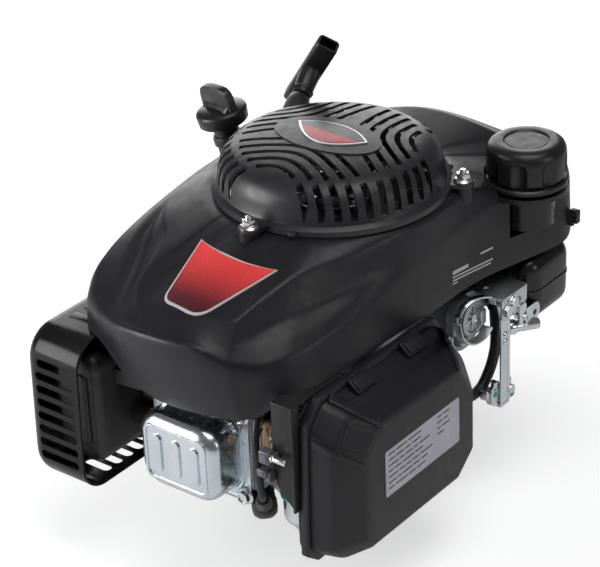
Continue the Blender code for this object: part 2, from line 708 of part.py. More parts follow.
# ---- blower housing ---------------------------------------------------------
# Stations run counter-clockwise from the front, seen from above. Columns are the
# rim azimuth in degrees, then the upper crease, the shoulder and the wall's
# lower edge, each as (x, y, height over the deck).
STATIONS = [
    (-90, (0, -192, -32), (0, -218, -48), (2, -203, -112)),
    (-80, (22, -188, -34), (30, -211, -49), (30, -198, -111)),
    (-75, (42, -178, -32), (50, -200, -62), (52, -193, -110)),
    (-70, (48, -152, -22), (70, -184, -66), (64, -184, -108)),
    (-64, (57, -124, -12), (80, -168, -64), (83, -177, -90)),
    (-56, (66, -98, -9), (88, -142, -63), (95, -150, -86)),
    (-44, (78, -76, -8), (94, -104, -58), (98, -108, -86)),
    (-30, (89, -48, -6), (97, -66, -50), (99, -68, -86)),
    (-14, (97, -24, -5), (100, -28, -42), (101, -28, -86)),
    (4, (99, 6, -5), (102, 6, -38), (103, 6, -86)),
    (20, (96, 36, -4), (101, 38, -34), (102, 38, -86)),
    (34, (99, 66, -4), (104, 68, -28), (105, 68, -86)),
    (46, (102, 94, -16), (112, 98, -28), (112, 98, -86)),
    (54, (110, 126, -19), (122, 134, -26), (122, 134, -86)),
    (61, (106, 150, -17), (129, 161, -20), (129, 163, -84)),
    (68, (80, 152, -4), (112, 182, -22), (114, 184, -62)),
    (76, (52, 150, 0), (62, 176, -12), (66, 186, -56)),
    (90, (6, 152, 4), (6, 168, -4), (6, 184, -56)),
    (104, (-36, 148, 2), (-40, 164, -6), (-42, 182, -56)),
    (118, (-70, 128, -3), (-84, 152, -14), (-88, 168, -56)),
    (132, (-92, 98, -4), (-114, 118, -20), (-118, 126, -60)),
    (147, (-106, 64, -4), (-132, 76, -22), (-136, 80, -66)),
    (163, (-108, 30, -3), (-140, 34, -22), (-144, 36, -74)),
    (180, (-106, -4, -3), (-140, -6, -24), (-145, -6, -78)),
    (196, (-104, -34, -4), (-138, -44, -28), (-143, -44, -80)),
    (210, (-105, -64, -6), (-134, -86, -32), (-138, -86, -81)),
    (222, (-88, -98, -8), (-130, -128, -38), (-132, -130, -81)),
    (233, (-66, -116, -10), (-124, -160, -46), (-126, -165, -81)),
    (243, (-56, -140, -16), (-108, -186, -54), (-108, -187, -81)),
    (252, (-54, -168, -28), (-84, -200, -58), (-86, -195, -82)),
    (261, (-46, -186, -36), (-54, -212, -54), (-56, -200, -105)),
    (266, (-24, -192, -34), (-28, -217, -50), (-26, -203, -112)),
]
HOUSING_T = 2.4
HOUSING_RIM_Z = -0.6       # height of the rim over the deck


def housing_row(azimuth, crease, shoulder, low):
    """The points of one station from the rim down to the lower edge."""
    crease, shoulder, low = Vector(crease), Vector(shoulder), Vector(low)
    rim_in = Vector((*polar(92.5, azimuth), HOUSING_RIM_Z))
    rim = Vector((*polar(104, azimuth), HOUSING_RIM_Z))
    if Vector((crease.x, crease.y)).length < 110:
        # the crease is close to the rim, so the rim stays inside it
        rim = rim_in * 0.4 + Vector((crease.x, crease.y, -2)) * 0.6
    bulge = Vector((shoulder.x - low.x, shoulder.y - low.y, 0)) * 0.05
    knee = shoulder.lerp(low, 0.5) + bulge
    return [rim_in, rim, crease, shoulder, knee, low]


def housing_sheet():
    shape = bmesh.new()
    grid = [[shape.verts.new((p.x, p.y, p.z + DECK_Z)) for p in housing_row(*station)]
            for station in STATIONS]
    for i, row in enumerate(grid):
        following = grid[(i + 1) % len(grid)]
        for j in range(len(row) - 1):
            shape.faces.new((row[j], row[j + 1], following[j + 1], following[j]))
    bmesh.ops.recalc_face_normals(shape, faces=shape.faces)
    # an open sheet may come out facing down; it has to thicken inwards
    if sum(face.normal.z for face in shape.faces) < 0:
        bmesh.ops.reverse_faces(shape, faces=shape.faces)
    return mesh_object("housing", shape)


def build_blower_housing():
    shell = housing_sheet()
    sheet = shell.modifiers.new("sheet", "SOLIDIFY")
    sheet.thickness = HOUSING_T * MM
    sheet.offset = -1.0
    sheet.use_even_offset = False
    sheet.use_rim = True
    join(shell, *cover_posts(-12, 1.2, 8.2, 20))
    # openings for the fuel cap, the cover studs and the oil fill tube
    cut(shell, post(CAP_X, CAP_Y, DECK_Z - 50, DECK_Z + 20, 35.5, 28))
    cut(shell, *cover_posts(-30, 9, 3.3, 16))
    cut(shell, rod(OIL_TUBE_BASE.lerp(OIL_TUBE_TOP, 0.4), (-145.9, 33.8, DECK_Z + 26), 13.5, 20))
    part("blower_housing", shell, "black_plastic", (0, 0, DECK_Z))


# ---- recoil cover -----------------------------------------------------------
SLOTS = 12
ROPE_SLOT = 4              # this one lies at the rope guide and stays uncut


def build_recoil_cover():
    z = DECK_Z
    outside = [(92, z + 0.2), (COVER_R, z + 0.2), (COVER_R, z + 6), (93, z + 9), (92, z + 22),
               (86, z + 33), (70, z + 40), (40, z + 43.6), (0, z + COVER_H)]
    inside = [(0, z + COVER_H - 2.4), (40, z + 41.2), (69, z + 37.6), (84, z + 31),
              (89.6, z + 21), (90, z + 9), (90, z + 0.2), (92, z + 0.2)]
    shell = turned(outside + inside, 26)
    join(shell, *[spun(box(88, 114, -9, 9, z + 1.6, z + 5), math.radians(azimuth))
                  for azimuth in COVER_AZIMUTHS])
    join(shell, post(0, 0, z + 6, z + COVER_H - 1.2, 8.0, 24))
    cut(shell, *cover_posts(-5, 12, 3.3, 16))
    # air slots: spokes of an open ring
    slots = [spun(box(56, 96, -4.6, 4.6, z + 13, z + 60), 2 * math.pi * (i + 0.5) / SLOTS)
             for i in range(SLOTS)]
    cut(shell, *[slot for i, slot in enumerate(slots) if i != ROPE_SLOT])
    # rope guide on the flank
    join(shell, rod(HANDLE_BASE - HANDLE_DIR * 26, HANDLE_BASE - HANDLE_DIR, 10, 20, 8.5))
    cut(shell, rod(HANDLE_BASE - HANDLE_DIR * 40, HANDLE_BASE + HANDLE_DIR * 4, 3.6, 12))
    part("recoil_cover", shell, "black_plastic", (0, 0, z))


def build_cover_nuts():
    """Each nut comes with its washer and stud."""
    z = DECK_Z
    for i, azimuth in enumerate(COVER_AZIMUTHS):
        x, y = polar(COVER_BOLT_R, azimuth)
        nut = post(x, y, z + 6.8, z + 12.2, 5.8, 6)
        join(nut, post(x, y, z + 5.35, z + 7.2, 7.3, 16), post(x, y, z - 14, z + 15.5, 2.9, 10))
        part("cover_nut_%d" % (i + 1), nut, "zinc", (x, y, z + 6))


def lens_points():
    """A lens outline, 66 by 26, whose long axis lies nearly along X."""
    half_length, half_width = 33, 13
    centre_x, centre_y = 6, -1
    turn = math.radians(-8)
    end = math.radians(20)     # each arc stops this far short of a half circle
    points = []
    # side, start angle, first step; the second arc starts where the first ends
    for side, start, first in ((-1, 200, 0), (1, 20, 1)):
        for i in range(first, 11):
            angle = math.radians(start + 140 * i / 10)
            x = half_length * math.cos(angle) / math.cos(end)
            y = side * half_width * (abs(math.sin(angle)) - math.sin(end)) / (1 - math.sin(end))
            points.append((centre_x + x * math.cos(turn) - y * math.sin(turn),
                           centre_y + x * math.sin(turn) + y * math.cos(turn)))
    return points


def build_dome_badge():
    z = DECK_Z + COVER_H
    part("dome_badge", outline(lens_points(), z + 0.35, z + 2.0), "red_enamel")


def build_front_badge():
    """A tapered plate over the slope of the housing's front."""
    slope_y0, slope_y1 = -110, -192
    slope_drop = -32 - HOUSING_RIM_Z
    lift, thickness = 5.0, 1.2
    shape = bmesh.new()
    top, low = [], []
    for x, y in ((-36, -124), (42, -128), (13, -189), (-24, -185)):
        share = (y - slope_y0) / (slope_y1 - slope_y0)
        z = DECK_Z + HOUSING_RIM_Z + share * slope_drop + lift
        top.append(shape.verts.new((x, y, z)))
        low.append(shape.verts.new((x, y, z - thickness)))
    shape.faces.new(top)
    shape.faces.new(list(reversed(low)))
    for i in range(4):
        j = (i + 1) % 4
        shape.faces.new((top[i], low[i], low[j], top[j]))
    bmesh.ops.recalc_face_normals(shape, faces=shape.faces)
    part("front_badge", mesh_object("badge", shape), "red_enamel")


# ---- recoil starter ---------------------------------------------------------
def build_starter_pulley():
    z = DECK_Z
    rim = PULLEY_R + 5
    lip = PULLEY_R + 2.5
    pulley = turned([
        (8.5, z + 6), (rim, z + 6), (rim, z + 8), (PULLEY_R, z + 9), (PULLEY_R, z + 15),
        (rim, z + 16), (rim, z + 26), (lip, z + 26), (lip, z + 18), (14, z + 18),
        (14, z + 26), (8.5, z + 26), (8.5, z + 6)], 18)
    part("starter_pulley", pulley, "black_plastic", (0, 0, ROPE_Z))


def build_recoil_spring():
    z = DECK_Z + 22
    steps, steps_per_turn = 30, 10
    spiral = []
    for i in range(steps + 1):
        angle = 2 * math.pi * i / steps_per_turn
        radius = 17 + 13.5 * i / steps
        spiral.append((radius * math.cos(angle), radius * math.sin(angle), z))
    part("recoil_spring", wire(spiral, 0.9, 0), "steel", (0, 0, z))


def build_starter_handle():
    centre = HANDLE_BASE + HANDLE_DIR * 30
    across = HANDLE_DIR.cross(HANDLE_BAR).normalized()
    frame = Matrix((HANDLE_BAR, across, HANDLE_DIR)).transposed().to_4x4()
    place = Matrix.Translation(centre * MM) @ frame
    grip = box(-44, 44, -9.5, 9.5, -6.5, 6.5, 2.5, 2)
    grip.matrix_world = place
    grip = baked(grip)
    join(grip, rod(HANDLE_BASE + HANDLE_DIR * 1.2, centre, 8.2, 20, 9.4))
    # pockets open at both ends of the grip
    for x0, x1 in ((14, 60), (-60, -14)):
        pocket = box(x0, x1, -7, 7, -4, 4)
        pocket.matrix_world = place
        cut(grip, pocket)
    cut(grip, rod(HANDLE_BASE - HANDLE_DIR * 2, HANDLE_BASE + HANDLE_DIR * 16, 2.8, 12))
    part("starter_handle", grip, "black_plastic", HANDLE_BASE)


def build_starter_rope():
    start = Vector((*polar(PULLEY_R + 9.5, 128), ROPE_Z))
    path = [start, HANDLE_BASE - HANDLE_DIR * 34, HANDLE_BASE + HANDLE_DIR * 12]
    part("starter_rope", wire(path, 2.0, 1), "cord", start)


# ---- fuel -------------------------------------------------------------------
def build_fuel_tank():
    tank = box(-84, 118, 113, 177, 76, 139, 17, 2)
    join(tank, box(-76, 101, 117, 164, 120, 202, 12, 1))
    join(tank, post(CAP_X, CAP_Y, 179, NECK_TOP, 24, 28))
    cut(tank, box(-80.5, 114.5, 116.5, 173.5, 79.5, 135.5, 14, 1),
        box(-72, 97, 121, 160, 110, 198, 8, 1))
    # neck bore and hose outlet
    cut(tank, post(CAP_X, CAP_Y, 183, NECK_TOP + 3, 21, 24), along_y(88, 92, 100, 124, 2.6, 12))
    part("fuel_tank", tank, "black_plastic")


def build_fuel_cap():
    z = NECK_TOP + 1.5
    cap = turned([
        (0, z + 34), (24, z + 34), (30, z + 31), (33, z + 26), (33, z + 6), (30, z + 1),
        (28.4, z), (26.2, z), (26.2, z + 20), (0, z + 20)], 24, (CAP_X, CAP_Y, 0))
    # eight finger grooves
    for i in range(8):
        x, y = polar(36.5, i * 45 + 22, CAP_X, CAP_Y)
        cut(cap, post(x, y, z - 4, z + 25, 7.0, 8))
    part("fuel_cap", cap, "black_plastic", (CAP_X, CAP_Y, z))


def build_fuel_hose():
    path = [(88, 111.6, 92), (88, 104, 90), (92, 98, 76), (94, 84, 58), (94, 60, 48),
            (92, 20, 46), (91, -40, 48), (88, -100, 58), (86, -125.4, 62)]
    part("fuel_hose", wire(path, 4.2, 2), "rubber", path[0])


# ---- intake -----------------------------------------------------------------
BOWL_X, BOWL_Y, BOWL_Z = 82, -158, 44.2        # rim of the float bowl
THROTTLE_X = 79


def build_intake_insulator():
    z = INTAKE_Z
    block = box(56.6, 66.5, PORT_Y - 18, PORT_Y + 18, z - 20, z + 20, 2, 1)
    cut(block, along_x(PORT_Y, z, 50, 70, 10, 20))
    part("intake_insulator", block, "black_plastic")


def build_carburettor():
    z = INTAKE_Z
    body = box(67, 92, PORT_Y - 19, PORT_Y + 19, z - 22, z + 20, 3, 1)
    join(body, along_x(PORT_Y, z, 66.9, 97, 17, 24), post(BOWL_X, BOWL_Y, 44.6, z - 18, 13, 18))
    cut(body, along_x(PORT_Y, z, 60, 110, 11, 24))
    cut(body, post(THROTTLE_X, PORT_Y, z - 14, z + 45, 3.0, 12))
    # hose stub and its block
    join(body, along_y(86, 62, -140, -126, 3.4, 12), box(81, 91, -148, -138, 57, 70))
    part("carburettor", body, "cast_aluminium")


def build_float_bowl():
    z = BOWL_Z
    bowl = turned([
        (12.6, z), (14.8, z), (14.8, z - 3), (14.2, z - 20), (10.6, z - 26), (3.6, z - 26),
        (3.6, z - 24.6), (9.8, z - 24.6), (12.6, z - 19.6), (12.6, z)], 24, (BOWL_X, BOWL_Y, 0))
    part("float_bowl", bowl, "zinc", (BOWL_X, BOWL_Y, z))


def build_bowl_bolt():
    bolt = post(BOWL_X, BOWL_Y, BOWL_Z - 33, BOWL_Z - 26.4, 5.5, 6)
    join(bolt, post(BOWL_X, BOWL_Y, BOWL_Z - 27, BOWL_Z - 1, 2.9, 12))
    part("bowl_bolt", bolt, "zinc", (BOWL_X, BOWL_Y, BOWL_Z - 26))


def build_throttle_valve():
    """Shaft, butterfly and lever in one turning piece."""
    x, z = THROTTLE_X, INTAKE_Z
    shaft = post(x, PORT_Y, z - 12.4, z + 30, 2.4, 12)
    join(shaft, along_x(PORT_Y, z, x - 0.6, x + 0.6, 9.4, 20))
    join(shaft, box(x - 2, x + 2, -156, -135.5, z + 24, z + 26.4))
    part("throttle_valve", shaft, "zinc", (x, PORT_Y, z))


def build_air_filter_base():
    base = box(97.4, 99.6, FILTER_Y0 + 4, FILTER_Y1 - 4, 6, 135)
    # front panel as (x, z), then the top and corner strips
    panel = [(82, 136), (98.5, 136), (98.5, 46), (92, 62), (85, 80), (82, 106)]
    join(base, outline(panel, -187, -184.6, "XZ"), box(85, 98.5, -186, -120, 133.8, 136),
         box(96, 99.6, -187, -178, 46, 136))
    cut(base, along_x(PORT_Y, INTAKE_Z, 60, 110, 17.8, 24))
    part("air_filter_base", base, "gloss_black")


def build_air_filter_element():
    element = box(101, 120, FILTER_Y0 + 22, FILTER_Y1 - 22, 20, 118, 2, 1)
    cut(element, box(99, 112, FILTER_Y0 + 34, FILTER_Y1 - 34, 32, 106))
    part("air_filter_element", element, "foam")


def filter_cover_solid(x0, x1, inset):
    """The faceted cover as a solid; inset draws its outlines in for the hollow."""
    y0, y1 = FILTER_Y0, FILTER_Y1
    # back and front outlines as (y, z); point by point they face each other
    back = [(y0 + inset, 10), (y0 + 12, 1 + inset), (y1 - 14, 1 + inset), (y1 + 2 - inset, 12),
            (y1 + 2 - inset, 118), (y1 - 12, 138 - inset), (y0 + 12, 141 - inset),
            (y0 + inset, 128)]
    front = [(y0 + 24 + inset, 18), (y0 + 34, 5 + inset), (y1 - 26, 5 + inset),
             (y1 - 4 - inset, 24), (y1 - 4 - inset, 74), (y1 - 18, 96 - inset),
             (y0 + 36, 96 - inset), (y0 + 24 + inset, 84)]
    middle = [(b[0] * 0.82 + f[0] * 0.18, b[1] * 0.82 + f[1] * 0.18)
              for b, f in zip(back, front)]
    shape = bmesh.new()
    rings = []
    for x, ring in ((x0, back), (x0 + 0.45 * (x1 - x0), middle), (x1, front)):
        rings.append([shape.verts.new((x, y, z)) for y, z in ring])
    for near, far in zip(rings, rings[1:]):
        for i in range(8):
            j = (i + 1) % 8
            shape.faces.new((near[i], near[j], far[j], far[i]))
    shape.faces.new(rings[0])
    shape.faces.new(rings[-1])
    bmesh.ops.recalc_face_normals(shape, faces=shape.faces)
    return mesh_object("cover", shape)


def build_air_filter_cover():
    wall = 2.4
    cover = soften(filter_cover_solid(FILTER_X0, FILTER_X1, 0.0), 2.0, 1)
    cut(cover, filter_cover_solid(FILTER_X0 - 3, FILTER_X1 - wall, wall))
    part("air_filter_cover", cover, "black_plastic", (FILTER_X0, 0, 3))


# ---- oil filler and controls ------------------------------------------------
BRAKE_Y, BRAKE_Z = 74, 112     # brake lever pivot
GOVERNOR_X, GOVERNOR_Y = 96, 20


def build_oil_fill_tube():
    tube = rod(OIL_TUBE_BASE, OIL_TUBE_TOP, 11, 24)
    join(tube, rod((-84, 40, 52), (-119, 59.5, 62), 11, 24))
    cut(tube, rod((-117.9, 60, 66), (-143.9, 35.7, DECK_Z + 12), 8.6, 24))
    cut(tube, rod((-82, 40, 52), (-115, 58, 62), 7, 20))
    part("oil_fill_tube", tube, "black_plastic")


def build_dipstick():
    direction = (OIL_TUBE_TOP - OIL_TUBE_BASE).normalized()

    def at(distance):
        return OIL_TUBE_TOP + direction * distance

    cap = rod(at(0.6), at(10), 21, 28, 22)
    join(cap, rod(at(9), at(15), 22, 28, 18))
    # grip fin on the cap, then the stick and its plug
    fin = box(-3.6, 3.6, -16, 16, 0, 20, 3, 2)
    fin.matrix_world = aimed(at(12) * MM, direction) @ Matrix.Rotation(math.radians(35), 4, "Z")
    join(cap, fin, rod(at(-150), at(2), 2.6, 12), rod(at(-26), at(2), 7.6, 20))
    part("dipstick", cap, "black_plastic", OIL_TUBE_TOP)


def build_control_bracket():
    """Bent plate with its return, on the carburettor side."""
    bracket = box(87.0, 89.2, 44, 90, 78, 124)
    join(bracket, box(87.0, 121, 58, 104, 121.8, 124), box(118.8, 121, 58, 104, 104, 124))
    cut(bracket, *[along_x(y, BRAKE_Z, 114, 125, 3.4, 12) for y in (BRAKE_Y, BRAKE_Y + 20)])
    part("control_bracket", bracket, "zinc")


def build_brake_lever():
    lever = box(115.8, 118.0, 66, 82, 20, 119, 3, 2)
    join(lever, along_x(BRAKE_Y, BRAKE_Z, 117, 124, 2.9, 12),
         along_x(BRAKE_Y, BRAKE_Z, 121.4, 125, 5.6, 6))
    join(lever, box(108, 117, 68, 80, 18, 22))
    part("brake_lever", lever, "zinc", (118, BRAKE_Y, BRAKE_Z))


def build_governor_lever():
    lever = post(GOVERNOR_X, GOVERNOR_Y, 62, 104, 3.0, 12)
    for y0, y1 in ((18, 54), (-8, 21)):
        join(lever, box(94.8, 97.2, y0, y1, 99, 102.4))
    part("governor_lever", lever, "zinc", (GOVERNOR_X, GOVERNOR_Y, 80))


# ---- assembly ---------------------------------------------------------------
BUILDERS = (
    build_sump, build_crankcase, build_head_gasket, build_cylinder_head,
    build_crankshaft, build_crank_gear, build_flywheel, build_starter_cup,
    build_flywheel_nut, build_camshaft, build_connecting_rod, build_wrist_pin, build_piston,
    build_valve_train, build_valve_cover, build_valve_cover_bolts,
    build_spark_plug, build_spark_plug_boot, build_ignition_lead, build_ignition_coil,
    build_muffler, build_muffler_guard,
    build_blower_housing, build_recoil_cover, build_cover_nuts, build_dome_badge,
    build_front_badge,
    build_starter_pulley, build_recoil_spring, build_starter_handle, build_starter_rope,
    build_fuel_tank, build_fuel_cap, build_fuel_hose,
    build_intake_insulator, build_carburettor, build_float_bowl, build_bowl_bolt,
    build_throttle_valve, build_air_filter_base, build_air_filter_element,
    build_air_filter_cover,
    build_oil_fill_tube, build_dipstick, build_control_bracket, build_brake_lever,
    build_governor_lever,
)
for build in BUILDERS:
    build()

# the frame's origin is the centre of the output shaft's end face
for placed in list(ENGINE.objects) + list(CUTTERS.objects):
    placed.location.z -= PTO_END * MM
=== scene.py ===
# Visual model of a small vertical-shaft gasoline engine. Shapes are built in
# millimetres with the mounting flange's underside at z = 0; put() turns them
# into metres in the frame, whose origin is the output shaft's end face.
# The crank runs along z. -Y is the front, with the cylinder head and rocker cover;
# +X carries the air filter, -X the muffler and oil filler, +Y the fuel tank.
import json
import math

import bmesh
import bpy
from mathutils import Matrix, Vector
from mathutils.bvhtree import BVHTree

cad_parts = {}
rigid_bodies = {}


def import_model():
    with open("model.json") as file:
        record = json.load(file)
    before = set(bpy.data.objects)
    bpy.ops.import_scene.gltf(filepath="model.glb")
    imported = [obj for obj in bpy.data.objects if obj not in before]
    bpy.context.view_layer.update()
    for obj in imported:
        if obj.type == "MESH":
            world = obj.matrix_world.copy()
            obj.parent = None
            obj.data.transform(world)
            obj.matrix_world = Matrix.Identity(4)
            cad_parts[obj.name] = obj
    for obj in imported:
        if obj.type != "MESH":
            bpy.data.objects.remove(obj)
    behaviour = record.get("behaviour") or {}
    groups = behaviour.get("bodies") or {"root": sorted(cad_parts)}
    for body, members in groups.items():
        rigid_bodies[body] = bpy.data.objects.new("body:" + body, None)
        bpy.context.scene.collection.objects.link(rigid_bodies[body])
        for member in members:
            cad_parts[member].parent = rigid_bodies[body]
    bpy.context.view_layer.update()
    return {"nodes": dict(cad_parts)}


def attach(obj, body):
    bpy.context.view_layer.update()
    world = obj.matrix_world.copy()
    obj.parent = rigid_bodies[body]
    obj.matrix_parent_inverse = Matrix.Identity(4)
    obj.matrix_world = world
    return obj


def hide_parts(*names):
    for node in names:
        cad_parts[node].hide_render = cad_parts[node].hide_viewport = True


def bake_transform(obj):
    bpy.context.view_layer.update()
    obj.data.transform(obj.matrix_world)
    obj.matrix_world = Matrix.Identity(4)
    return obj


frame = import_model()

MM = 0.001
LIFT = 62.0  # flange underside over the shaft's end face
DECK = 228.0  # plane where the starter dome meets the shroud
CAP_X, CAP_Y = 110.0, 121.0  # fuel cap
STUD_RADIUS, STUD_ANGLES = 107, (-90, 30, 150)  # the dome's three nuts
OIL_FOOT = Vector((-118, 60, 60))
OIL_MOUTH = Vector((-143, 36.5, DECK + 6))
OIL_AXIS = (OIL_MOUTH - OIL_FOOT).normalized()
PLUG_TIP = Vector((24.0, -140.5, 60.0))
PLUG_AXIS = Vector((0.541, -0.534, -0.647)).normalized()
PULL_BASE = Vector((-81.0, 65.0, 261.0))  # where the starter cord leaves the dome
PULL_AXIS = Vector((-0.261, 0.865, 0.427)).normalized()
PULL_BAR = Vector((0.60, -0.196, 0.765)).normalized()
CAMERA_PLACE = (1.014387, -1.302170, 1.090782)  # metres
EYE = Vector((CAMERA_PLACE[0] / MM, CAMERA_PLACE[1] / MM, CAMERA_PLACE[2] / MM - LIFT))
CORNERS = ((-1, -1), (-1, 1), (1, -1), (1, 1))

SCENE = bpy.context.scene
TOOLS = bpy.data.collections.new("tools")
SCENE.collection.children.link(TOOLS)
WORLD = Matrix.Translation((0, 0, LIFT * MM)) @ Matrix.Scale(MM, 4)


# ---------------------------------------------------------------- materials --
def fill(tree, node, *ordered, **named):
    """Sets or links a node's inputs, by order or by name. Lower-case names are properties."""
    for key in [key for key in named if key.islower()]:
        setattr(node, key, named.pop(key))
    values = list(enumerate(ordered))
    values += [(key.replace("_", " "), value) for key, value in named.items()]
    for key, value in values:
        if isinstance(value, bpy.types.NodeSocket):
            tree.links.new(value, node.inputs[key])
        else:
            node.inputs[key].default_value = value
    return node


def add_node(tree, kind, *ordered, **named):
    return fill(tree, tree.nodes.new("ShaderNode" + kind), *ordered, **named)


def colour_ramp(tree, factor, stops):
    """A colour ramp through (position, colour) stops."""
    node = add_node(tree, "ValToRGB", factor)
    elements = node.color_ramp.elements
    for i in (0, -1):
        elements[i].position = stops[i][0]
        elements[i].color = (*stops[i][1], 1)
    for position, colour in stops[1:-1]:
        elements.new(position).color = (*colour, 1)
    return node.outputs[0]


def finish(name, base, rough, metal=0.0, tint=0.10, blotch=14.0, grain=1400.0, bump=0.10,
           depth=0.0002, rough_var=0.07, stretch=(1, 1, 1), coat=0.0, edge=0.0, second=None,
           pits=0.0, spec=0.5, sheen=0.0):
    """A finish with slow colour and roughness changes, a fine grain in the bump,
    optional pits, and a painted highlight that lightens sharp edges.

    tint is the spread of the colour from base to second, blotch and grain are the
    scales of the slow and fine noise, and depth is the bump's height in metres."""
    material = bpy.data.materials.new(name)
    material.use_nodes = True
    tree = material.node_tree
    tree.nodes.clear()
    output = add_node(tree, "OutputMaterial")
    shader = add_node(tree, "BsdfPrincipled")
    coords = add_node(tree, "TexCoord").outputs["Object"]
    coords = add_node(tree, "Mapping", coords, Scale=stretch).outputs[0]
    slow = add_node(tree, "TexNoise", Vector=coords, Scale=blotch, Detail=5.0, Roughness=0.6)
    fine = add_node(tree, "TexNoise", Vector=coords, Scale=grain, Detail=3.0, Roughness=0.55)
    dark = [c * (1 - tint) for c in base]
    light = [min(1.0, c * (1 + tint)) for c in (second or base)]
    colour = colour_ramp(tree, slow.outputs["Fac"], [(0.35, dark), (0.68, light)])
    # painted highlight: colour is added on sharp edges by pointiness, standing in for light
    # catching them
    if edge:
        pointed = add_node(tree, "NewGeometry").outputs["Pointiness"]
        painted_edge_highlight = colour_ramp(tree, pointed, [(0.505, (0, 0, 0)), (0.58, (1, 1, 1))])
        colour = add_node(tree, "MixRGB", painted_edge_highlight, colour, (edge, edge, edge, 1),
                          blend_type="ADD").outputs[0]
    mottle = add_node(tree, "TexNoise", Vector=coords, Scale=blotch * 9, Detail=4.0)
    rough_range = add_node(tree, "MapRange", mottle.outputs["Fac"], From_Min=0.3, From_Max=0.7,
                           To_Min=max(0.03, rough - rough_var), To_Max=min(1.0, rough + rough_var))
    height = fine.outputs["Fac"]
    if pits:
        cells = add_node(tree, "TexVoronoi", Vector=coords, Scale=grain * 0.35)
        height = add_node(tree, "Math", cells.outputs["Distance"], pits, height,
                          operation="MULTIPLY_ADD").outputs[0]
    relief = add_node(tree, "Bump", Strength=bump, Distance=depth, Height=height)
    fill(tree, shader, Base_Color=colour, Metallic=metal, Roughness=rough_range.outputs[0],
         Coat_Weight=coat, Coat_Roughness=0.12, Specular_IOR_Level=spec, Sheen_Weight=sheen,
         Normal=relief.outputs[0])
    fill(tree, output, shader.outputs[0])
    return material


def enamel(name, axis, low, high, stops, rough):
    """A glossy printed plate whose colour runs along axis from low to high, in millimetres."""
    material = bpy.data.materials.new(name)
    material.use_nodes = True
    tree = material.node_tree
    coords = add_node(tree, "TexCoord").outputs["Object"]
    distance = add_node(tree, "VectorMath", coords, Vector(axis).normalized(),
                        operation="DOT_PRODUCT").outputs["Value"]
    run = add_node(tree, "MapRange", distance, From_Min=low * MM, From_Max=high * MM)
    colour = colour_ramp(tree, run.outputs[0], stops)
    fleck = add_node(tree, "TexNoise", Vector=coords, Scale=900.0, Detail=2.0).outputs["Fac"]
    mixed = add_node(tree, "MixRGB", 0.18, colour, fleck, blend_type="OVERLAY")
    rough_range = add_node(tree, "MapRange", fleck, To_Min=rough - 0.06, To_Max=rough + 0.10)
    fill(tree, tree.nodes["Principled BSDF"], Base_Color=mixed.outputs[0],
         Roughness=rough_range.outputs[0], Specular_IOR_Level=0.3, Coat_Weight=0.1,
         Coat_Roughness=0.2)
    return material


